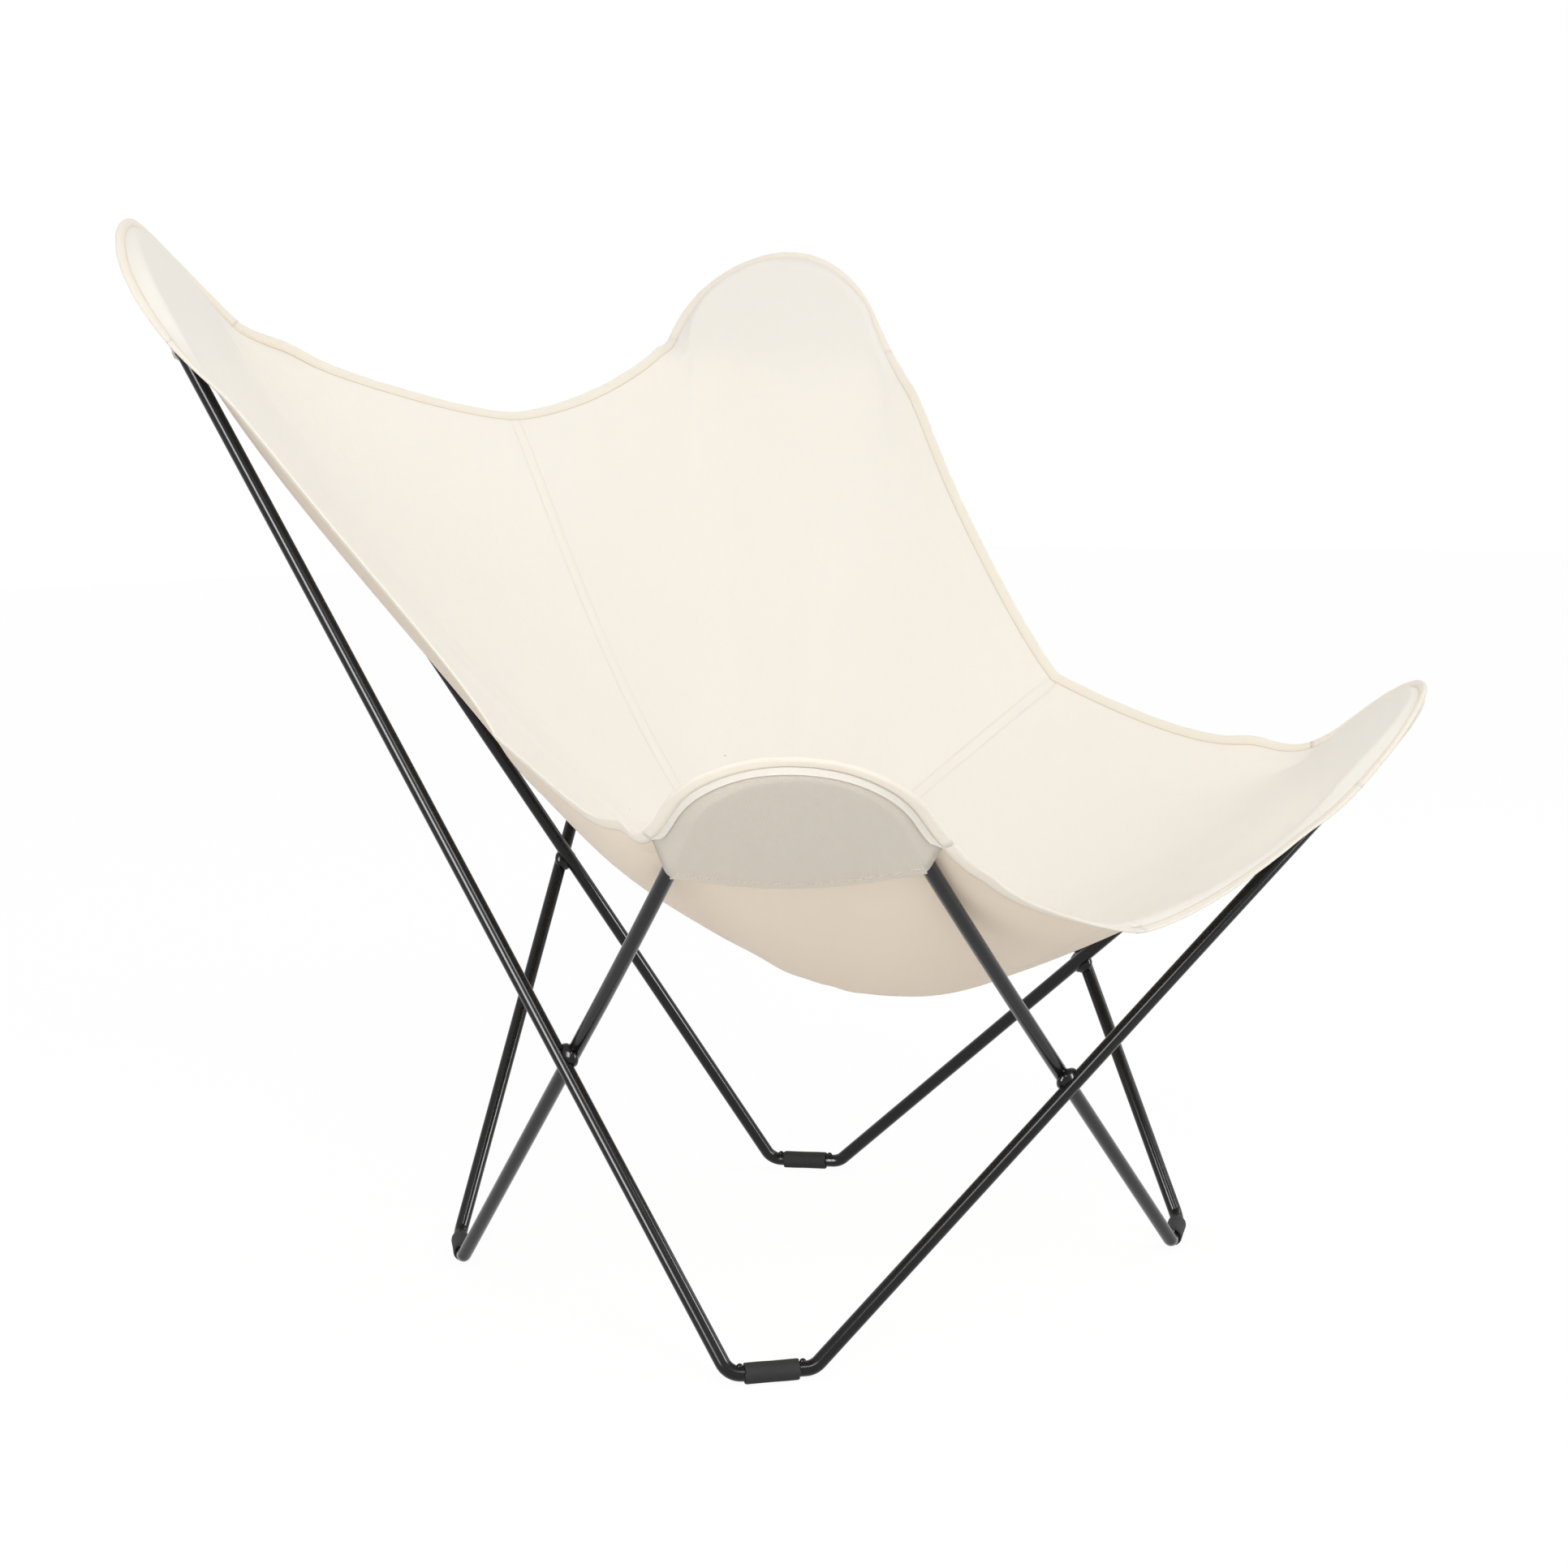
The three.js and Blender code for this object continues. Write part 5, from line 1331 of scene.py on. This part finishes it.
def cloth_material(name, base, threads, twill, strength, gap_painted_shade, border_painted_shade=None):
    """Cotton cloth: the weave from its own flat pattern, patches, flecks and painted shade in the gaps
    between threads. Where the piece's border value nears 1, the colour goes to a painted shade: on the
    underside of the canvas and along the inner border of the tape."""
    found = bpy.data.materials.get(name)
    if found:
        return found
    material, tree, shader = new_material(name, 0.92, 0.2)
    shader.inputs["Sheen Weight"].default_value = 0.1
    shader.inputs["Sheen Roughness"].default_value = 0.5
    shader.inputs["Subsurface Weight"].default_value = 0.25
    shader.inputs["Subsurface Radius"].default_value = (0.0035, 0.0026, 0.0019)
    shader.inputs["Subsurface Scale"].default_value = 1.0
    pattern = tree.nodes.new("ShaderNodeUVMap")
    pattern.uv_map = "cloth"
    place = tree.nodes.new("ShaderNodeTexCoord")
    weave = placed_group(tree, "Chair weave", pattern.outputs[0], Threads=threads, Twill=twill)
    marks = placed_group(tree, "Chair cotton marks", place.outputs["Object"])
    patches = maths(tree, "MULTIPLY", maths(tree, "SUBTRACT", marks.outputs["Patches"], 0.35), 0.9)
    tinted = blended(tree, patches, shade(base, (1, 1, 1)), shade(base, (0.98, 0.97, 0.955)))
    # Painted shade between the threads: the gaps of the weave are painted darker.
    woven = blended(tree, maths(tree, "MULTIPLY", weave.outputs["Gaps"], gap_painted_shade), tinted,
                    shade(base, (0.74, 0.7, 0.63)))
    marked = blended(tree, maths(tree, "MULTIPLY", marks.outputs["Flecks"], 0.5), woven,
                     shade(base, (0.45, 0.36, 0.26)))
    # Painted shade: where the border value nears 1, on the canvas's underside and along the tape's inner
    # border, the colour is painted darker.
    if border_painted_shade is not None:
        border = tree.nodes.new("ShaderNodeAttribute")
        border.attribute_name = "border"
        line = maths(tree, "MULTIPLY", maths(tree, "POWER", border.outputs["Fac"], 1.5), 0.75)
        marked = blended(tree, line, marked, shade(base, border_painted_shade))
    tree.links.new(marked, shader.inputs["Base Color"])
    bump(tree, shader, weave.outputs["Height"], strength, 0.00025)
    return material


def canvas_material(scene):
    """Undyed plain canvas of the panels, with painted shade on their underside."""
    return cloth_material("natural canvas", scene.chair_finishes.canvas,
                          threads=1 / scene.chair_sling.weave, twill=0.0, strength=0.35, gap_painted_shade=0.16,
                          border_painted_shade=UNDERSIDE_PAINTED_SHADE)


def seam_material(scene):
    """The same canvas, folded into a seam, with painted shade on its underside."""
    return cloth_material("felled canvas", scene.chair_finishes.canvas,
                          threads=1 / scene.chair_sling.weave, twill=0.0, strength=0.35, gap_painted_shade=0.2,
                          border_painted_shade=UNDERSIDE_PAINTED_SHADE)


def pocket_material(scene):
    """Finer, twilled cotton of the pockets, in a greyer colour that is partly the twill's own and partly
    painted shade.
    """
    return cloth_material("pocket canvas", scene.chair_finishes.pocket,
                          threads=1.25 / scene.chair_sling.weave, twill=1.0, strength=1.0, gap_painted_shade=0.9)


def binding_material(scene):
    """Fine plain cotton of the tape, with a tan shade painted along its sewn border."""
    return cloth_material("binding tape", scene.chair_finishes.binding,
                          threads=1.5 / scene.chair_sling.weave, twill=0.0, strength=0.4, gap_painted_shade=0.2,
                          border_painted_shade=(0.8, 0.68, 0.5))


def skin_material(name, base, roughness, specular, fineness, tints, strength, distance, duller=None):
    """A surface with fine unevenness. Its colour goes from the first tint of its base to the second
    with the mask of dull spots. Where duller is given, its roughness goes up from duller's first
    number by its second."""
    found = bpy.data.materials.get(name)
    if found:
        return found
    material, tree, shader = new_material(name, roughness, specular)
    place = tree.nodes.new("ShaderNodeTexCoord")
    skin = placed_group(tree, "Chair skin", place.outputs["Object"], Fineness=fineness)
    dull = skin.outputs["Dull"]
    if duller is not None:
        rough = maths(tree, "ADD", maths(tree, "MULTIPLY", dull, duller[1]), duller[0])
        tree.links.new(rough, shader.inputs["Roughness"])
    toned = blended(tree, dull, shade(base, tints[0]), shade(base, tints[1]))
    tree.links.new(toned, shader.inputs["Base Color"])
    bump(tree, shader, skin.outputs["Height"], strength, distance)
    return material


def thread_material(scene):
    """Sewing thread, with an unevenness as fine as its plies."""
    return skin_material("sewing thread", scene.chair_finishes.thread, roughness=0.75, specular=0.3,
                         fineness=2500.0, tints=((1.08, 1.06, 1.04), (0.85, 0.82, 0.78)), strength=0.3,
                         distance=0.0001)


def enamel_material(scene):
    """Gloss black enamel on steel: faint orange peel under the gloss, and duller patches."""
    return skin_material("gloss black enamel", scene.chair_finishes.enamel, roughness=0.15,
                         specular=0.28, fineness=350.0, tints=((0.8, 0.8, 0.8), (1.3, 1.28, 1.25)),
                         strength=0.01, distance=0.0003, duller=(0.13, 0.1))


def rubber_material(scene):
    """Matte black rubber: fine grain and grey bloom."""
    return skin_material("matte black rubber", scene.chair_finishes.rubber, roughness=0.8, specular=0.3,
                         fineness=900.0, tints=((0.8, 0.8, 0.8), (1.8, 1.75, 1.7)), strength=0.4,
                         distance=0.0003)


# Operators

def settle(piece, slot, *nodes):
    """A finished piece rides with the chair and stands for its nodes, which are hidden. The slot is not
    used.
    """
    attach(piece, "root")
    if nodes:
        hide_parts(*nodes)
    return piece


def quarters_of(scene):
    """The quarters of the sling, worked out from the sizes in the sidebar."""
    return make_sling(frame_lines(scene.chair_frame), scene.chair_frame, scene.chair_sling)


def rims(quarters):
    """The name, the stations and the seed of each tape: the lobes' first, then the free edges'."""
    lobes = [(f"{name}_lobe", part_of(quarter, quarter.held), 80 + number)
             for number, (name, quarter) in enumerate(quarters.items())]
    edges = [(f"{name}_edge", free_edge(quarters[first], quarters[second], end), 70 + number)
             for number, (name, (first, second, end)) in enumerate(SEAMS.items())]
    return lobes + edges


def nodule(centre, axes, seed, rings=14, sides=20):
    """A closed lump: an ellipsoid on three axes, its radius varied by ripples across the first axis
    and a gentle wobble, like beads of weld laid one over the next."""
    w = np.linspace(0.06, math.pi - 0.06, rings)[:, None]
    a = np.linspace(0, 2 * math.pi, sides, endpoint=False)[None]
    uneven = UNEVEN * wobble(a / (2 * math.pi) + w * 0.2, 2, seed)
    beads = 1 + RIPPLE * np.abs(np.sin(w * RIPPLE_TURNS + 0.5)) + uneven
    x = np.cos(w) * np.ones_like(a)
    y = np.sin(w) * np.cos(a) * beads
    z = np.sin(w) * np.sin(a) * beads
    return centre + x[..., None] * axes[0] + y[..., None] * axes[1] + z[..., None] * axes[2]


class CHAIR_OT_rods(bpy.types.Operator):
    """Make the four half loops of rod, with the tacks of weld beside their sleeves"""
    bl_idname = "chair.rods"
    bl_label = "Rods"

    def execute(self, context):
        sizes = context.scene.chair_frame
        material = enamel_material(context.scene)
        lines = frame_lines(sizes)
        for name, half in lines.halves.items():
            line, tacks = rod_line(half, sizes)
            rings = carried_round(line, half.lobe.normal, sizes.rod / 2, ROD_SIDES)
            level, side = name.split("_")
            piece = tube_piece(f"{name}_bar", rings, material)
            settle(piece, "rod", f"{level}_rod_{side}")
            for i, tack in enumerate(tacks):
                axes = [vector(1, 0, 0), vector(0, 1, 0), vector(0, 0, TACK_HEIGHT)]
                lump = nodule(tack, [axis * sizes.tack for axis in axes], 3 + i, rings=8, sides=12)
                settle(tube_piece(f"{name}_tack_{i + 1}", lump, material), "rod")
        return {"FINISHED"}


class CHAIR_OT_welds(bpy.types.Operator):
    """Make the four lumps of weld where the rods cross"""
    bl_idname = "chair.welds"
    bl_label = "Welds"

    def execute(self, context):
        sizes = context.scene.chair_frame
        material = enamel_material(context.scene)
        halves = frame_lines(sizes).halves
        pairs = {
            "front_weld": (halves["low_left"].legs[1], halves["low_right"].legs[1]),
            "back_weld": (halves["high_left"].legs[1], halves["high_right"].legs[1]),
            "left_weld": (halves["high_left"].legs[0], halves["low_left"].legs[0]),
            "right_weld": (halves["high_right"].legs[0], halves["low_right"].legs[0]),
        }
        for number, (node, (a, b)) in enumerate(pairs.items()):
            meet = crossing(a, b)
            between = unit(a.rise + b.rise)
            beside = unit(a.rise - b.rise)
            axes = [beside * sizes.weld_reach, between * sizes.weld_reach * WELD_ALONG,
                    meet.normal * sizes.weld_depth * WELD_ACROSS]
            lump = nodule(meet.point, axes, 20 + number)
            settle(tube_piece(f"{node}_bead", lump, material), "rod", node)
        return {"FINISHED"}


class CHAIR_OT_sleeves(bpy.types.Operator):
    """Make the four rubber sleeves on the feet"""
    bl_idname = "chair.sleeves"
    bl_label = "Foot sleeves"

    def execute(self, context):
        sizes = context.scene.chair_frame
        material = rubber_material(context.scene)
        lines = frame_lines(sizes)
        for side_name, side in SIDES.items():
            for place, foot, shift in (("front", lines.front, side * lines.shift),
                                       ("back", lines.back, -side * lines.shift)):
                centre = toward(side, foot.centre) + vector(0, shift, 0) + lines.home
                node = f"{place}_{side_name}_foot_sleeve"
                piece = self.sleeve(f"{node}_rubber", centre, toward(side, foot.run), sizes, material,
                                    len(place) * 7 + side)
                settle(piece, "sleeve", node)
        return {"FINISHED"}

    def sleeve(self, name, centre, run, sizes, material, seed):
        """A short tube: its wall's profile is carried round the rod, its two ends are cut a little
        uneven, and its underside is pressed flat on the floor."""
        bore = sizes.rod / 2 + BORE_SLACK
        outer = sizes.rod / 2 + sizes.gap + sizes.sleeve_wall
        half = sizes.sleeve / 2
        cut, edge = outer - SLEEVE_CHAMFER, outer - SLEEVE_ROUNDING
        waist = outer * SLEEVE_WAIST
        radii = np.array([bore, cut, edge, outer, outer, waist, outer, outer, edge, cut, bore])
        one_half = np.array([0.5, SLEEVE_FULL, SLEEVE_EDGE, 1, 1])
        along = np.concatenate([-one_half[::-1], [0], one_half]) * half
        w = np.linspace(0, 2 * math.pi, 40, endpoint=False)
        ragged = wobble(w / (2 * math.pi), 4, seed + 60) * RAGGED
        across = vector(-run[1], run[0], 0)
        ends = np.sign(along) * (np.abs(along) > 0.9 * half)
        place = along[:, None] + ends[:, None] * ragged[None] - ends[:, None] * RAGGED
        bulge = 1 + BULGE * wobble(w[None] / (2 * math.pi) + along[:, None] * 30, 3, seed)
        radius = radii[:, None] * np.where(radii[:, None] > bore, bulge, 1)
        side = across * (radius * np.cos(w))[..., None]
        rise = vector(0, 0, 1) * (radius * np.sin(w))[..., None]
        points = centre + run * place[..., None] + side + rise
        points[..., 2] = np.maximum(points[..., 2], 0)
        rows, sides = points.shape[:2]
        wall = ring_faces(rows, sides)
        j = np.arange(sides)
        k = (j + 1) % sides
        end = (rows - 1) * sides
        bore_faces = np.stack([end + j, end + k, k, j], -1)
        return new_piece(name, material, points.reshape(-1, 3), np.vstack([wall, bore_faces]))


class CHAIR_OT_bindings(bpy.types.Operator):
    """Make the eight tapes that bind the rim: round the four lobes and along the four free edges"""
    bl_idname = "chair.bindings"
    bl_label = "Binding tapes"

    def execute(self, context):
        sling = context.scene.chair_sling
        tape = binding_material(context.scene)
        quarters = quarters_of(context.scene)
        for name, stations, seed in rims(quarters):
            piece = binding_piece(f"{name}_tape", stations, sling, tape, seed, name.endswith("lobe"))
            settle(piece, "binding", f"{name}_binding")
        return {"FINISHED"}


class CHAIR_OT_seams(bpy.types.Operator):
    """Make the four felled seams that join the panels"""
    bl_idname = "chair.seams"
    bl_label = "Seams"

    def execute(self, context):
        sling = context.scene.chair_sling
        fell = seam_material(context.scene)
        quarters = quarters_of(context.scene)
        for name, (first, second, end) in SEAMS.items():
            piece = seam_piece(f"{name}_seam_fell", quarters[first], quarters[second], end, sling, fell)
            settle(piece, "binding", f"{name}_seam_tape")
        return {"FINISHED"}


class CHAIR_OT_stitches(bpy.types.Operator):
    """Make the rows of stitches on the tapes, the seams and the hems"""
    bl_idname = "chair.stitches"
    bl_label = "Stitches"

    def execute(self, context):
        sling = context.scene.chair_sling
        thread = thread_material(context.scene)
        quarters = quarters_of(context.scene)
        rows = {name: tape_rows(stations, sling, seed, name.endswith("lobe"))
                for name, stations, seed in rims(quarters)}
        for name, (first, second, end) in SEAMS.items():
            rows[f"{name}_seam"] = seam_rows(quarters[first], quarters[second], end, sling)
        for name, quarter in quarters.items():
            rows[f"{name}_hem"] = hem_rows(quarter, sling)
        for name, lines in rows.items():
            settle(stitches_piece(f"{name}_stitches", lines, sling, thread), "binding")
        return {"FINISHED"}


class CHAIR_OT_panels(bpy.types.Operator):
    """Make the four canvas panels. The tapes, the seam and the stitching sewn to each are listed, and not
    used further
    """
    bl_idname = "chair.panels"
    bl_label = "Panels"

    def execute(self, context):
        sling = context.scene.chair_sling
        canvas = canvas_material(context.scene)
        quarters = quarters_of(context.scene)
        sewn = {name: [f"{name}_lobe_tape", f"{name}_lobe_stitches"] for name in quarters}
        for name, (first, _, _) in SEAMS.items():
            sewn[first] += [f"{name}_edge_tape", f"{name}_edge_stitches", f"{name}_seam_fell",
                            f"{name}_seam_stitches"]
        for name, quarter in quarters.items():
            cloth = settle(panel_piece(quarter, sling, canvas), "canvas", f"{name}_panel")
        return {"FINISHED"}


class CHAIR_OT_pockets(bpy.types.Operator):
    """Make the four pockets that slip over the lobes, each with a hem at its mouth"""
    bl_idname = "chair.pockets"
    bl_label = "Pockets"

    def execute(self, context):
        sling = context.scene.chair_sling
        canvas = pocket_material(context.scene)
        quarters = quarters_of(context.scene)
        for name, quarter in quarters.items():
            cloth = settle(pocket_piece(quarter, sling, canvas), "canvas", f"{name}_pocket")
        return {"FINISHED"}


class CHAIR_OT_stage(bpy.types.Operator):
    """Make the floor, the backdrop light, the lamps and the camera"""
    bl_idname = "chair.stage"
    bl_label = "Stage"

    def execute(self, context):
        self.camera(context.scene)
        self.world(context.scene)
        self.floor()
        for name, values in LAMPS.items():
            self.lamp(context.scene, name, *values)
        return {"FINISHED"}

    def camera(self, scene):
        """The photograph's camera, turned by azimuth, elevation and roll."""
        azimuth, elevation, roll = (math.radians(a) for a in CAMERA_ANGLES)
        frame_pixels, focal, centre_x, centre_y = CAMERA_PIXELS
        back = vector(math.sin(azimuth) * math.cos(elevation), -math.cos(azimuth) * math.cos(elevation),
                      math.sin(elevation))
        right = vector(math.cos(azimuth), math.sin(azimuth), 0)
        up = np.cross(back, right)
        turned_right = right * math.cos(roll) + up * math.sin(roll)
        turned_up = up * math.cos(roll) - right * math.sin(roll)
        data = bpy.data.cameras.new("photograph camera")
        data.sensor_fit = "HORIZONTAL"
        data.sensor_width = 36
        data.lens = focal / frame_pixels * data.sensor_width
        data.shift_x = (frame_pixels / 2 - centre_x) / frame_pixels
        data.shift_y = (centre_y - frame_pixels / 2) / frame_pixels
        data.clip_end = 50
        camera = bpy.data.objects.new("photograph camera", data)
        scene.collection.objects.link(camera)
        axes = np.eye(4)
        axes[:3, 0], axes[:3, 1], axes[:3, 2] = turned_right, turned_up, back
        axes[:3, 3] = CAMERA_PLACE
        camera.matrix_world = Matrix(axes.tolist())
        scene.camera = camera

    def lamp(self, scene, name, place, width, height, power, lights_cloth):
        """A soft rectangular lamp that faces the chair. A strip that doesn't light the cloth is there
        for the lines that it draws in the gloss of the rods."""
        data = bpy.data.lights.new(name, "AREA")
        data.shape = "RECTANGLE"
        data.size, data.size_y, data.energy = width, height, power
        lamp = bpy.data.objects.new(name, data)
        back = unit(vector(*place) - vector(*LAMP_AIM))
        right = unit(np.cross(vector(0, 0, 1), back))
        axes = np.eye(4)
        axes[:3, 0], axes[:3, 1], axes[:3, 2], axes[:3, 3] = right, np.cross(back, right), back, place
        lamp.matrix_world = Matrix(axes.tolist())
        lamp.visible_diffuse = lights_cloth
        scene.collection.objects.link(lamp)

    def seen(self, tree):
        """1 for rays from the camera and for reflected or transmitted ones, 0 for the rest."""
        path = tree.nodes.new("ShaderNodeLightPath")
        first = maths(tree, "MAXIMUM", path.outputs["Is Camera Ray"], path.outputs["Is Glossy Ray"])
        return maths(tree, "MAXIMUM", first, path.outputs["Is Transmission Ray"])

    def world(self, scene):
        """White where it is seen, and a weaker white as light."""
        world = bpy.data.worlds.new("studio")
        world.use_nodes = True
        tree = world.node_tree
        shader = tree.nodes["Background"]
        shader.inputs["Color"].default_value = (1, 1, 1, 1)
        added = maths(tree, "MULTIPLY", self.seen(tree), WORLD_SEEN)
        tree.links.new(maths(tree, "ADD", added, WORLD_LIGHT), shader.inputs["Strength"])
        scene.world = world
        scene.view_settings.view_transform = "Standard"

    def floor(self):
        """A wide pale floor. The camera sees it mostly as plain white, with a faint shadow."""
        corners = ((-1, -1), (1, -1), (1, 1), (-1, 1))
        points = [(x * FLOOR_REACH, y * FLOOR_REACH, 0) for x, y in corners]
        mesh = bpy.data.meshes.new("floor")
        mesh.from_pydata(points, [], [(0, 1, 2, 3)])
        floor = bpy.data.objects.new("floor", mesh)
        bpy.context.scene.collection.objects.link(floor)
        material, tree, shader = new_material("white floor", 0.95, 0.1)
        shader.inputs["Base Color"].default_value = (FLOOR_GREY, FLOOR_GREY, FLOOR_GREY, 1)
        glow = tree.nodes.new("ShaderNodeEmission")
        glow.inputs["Strength"].default_value = FLOOR_GLOW
        both = tree.nodes.new("ShaderNodeMixShader")
        tree.links.new(maths(tree, "MULTIPLY", self.seen(tree), FLOOR_SEEN), both.inputs[0])
        tree.links.new(shader.outputs[0], both.inputs[1])
        tree.links.new(glow.outputs[0], both.inputs[2])
        tree.links.new(both.outputs[0], tree.nodes["Material Output"].inputs["Surface"])
        mesh.materials.append(material)


class VIEW3D_PT_chair(bpy.types.Panel):
    """Sizes, finishes and the steps that build the chair"""
    bl_label = "Butterfly Sling Chair"
    bl_space_type = "VIEW_3D"
    bl_region_type = "UI"
    bl_category = "Chair"

    def draw(self, context):
        layout = self.layout
        for operator in OPERATORS:
            layout.operator(operator.bl_idname)
        for title, group in (("Frame", context.scene.chair_frame), ("Sling", context.scene.chair_sling),
                             ("Finishes", context.scene.chair_finishes)):
            box = layout.box()
            box.label(text=title)
            for key in group.bl_rna.properties.keys():
                if key not in ("rna_type", "name"):
                    box.prop(group, key)


GROUPS = {"chair_frame": ChairFrameSizes, "chair_sling": ChairSlingSizes, "chair_finishes": ChairFinishes}
OPERATORS = (CHAIR_OT_stage, CHAIR_OT_rods, CHAIR_OT_welds, CHAIR_OT_sleeves, CHAIR_OT_bindings,
             CHAIR_OT_seams, CHAIR_OT_stitches, CHAIR_OT_panels, CHAIR_OT_pockets)


def register():
    for group in GROUPS.values():
        bpy.utils.register_class(group)
    for operator in OPERATORS:
        bpy.utils.register_class(operator)
    bpy.utils.register_class(VIEW3D_PT_chair)
    for name, group in GROUPS.items():
        setattr(bpy.types.Scene, name, bpy.props.PointerProperty(type=group))


def unregister():
    for name in GROUPS:
        delattr(bpy.types.Scene, name)
    bpy.utils.unregister_class(VIEW3D_PT_chair)
    for operator in reversed(OPERATORS):
        bpy.utils.unregister_class(operator)
    for group in reversed(list(GROUPS.values())):
        bpy.utils.unregister_class(group)


def main():
    """Registers the add-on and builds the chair."""
    register()
    bpy.ops.chair.stage()
    bpy.ops.chair.rods()
    bpy.ops.chair.welds()
    bpy.ops.chair.sleeves()
    bpy.ops.chair.bindings()
    bpy.ops.chair.seams()
    bpy.ops.chair.stitches()
    bpy.ops.chair.panels()
    bpy.ops.chair.pockets()


if __name__ == "__main__":
    main()
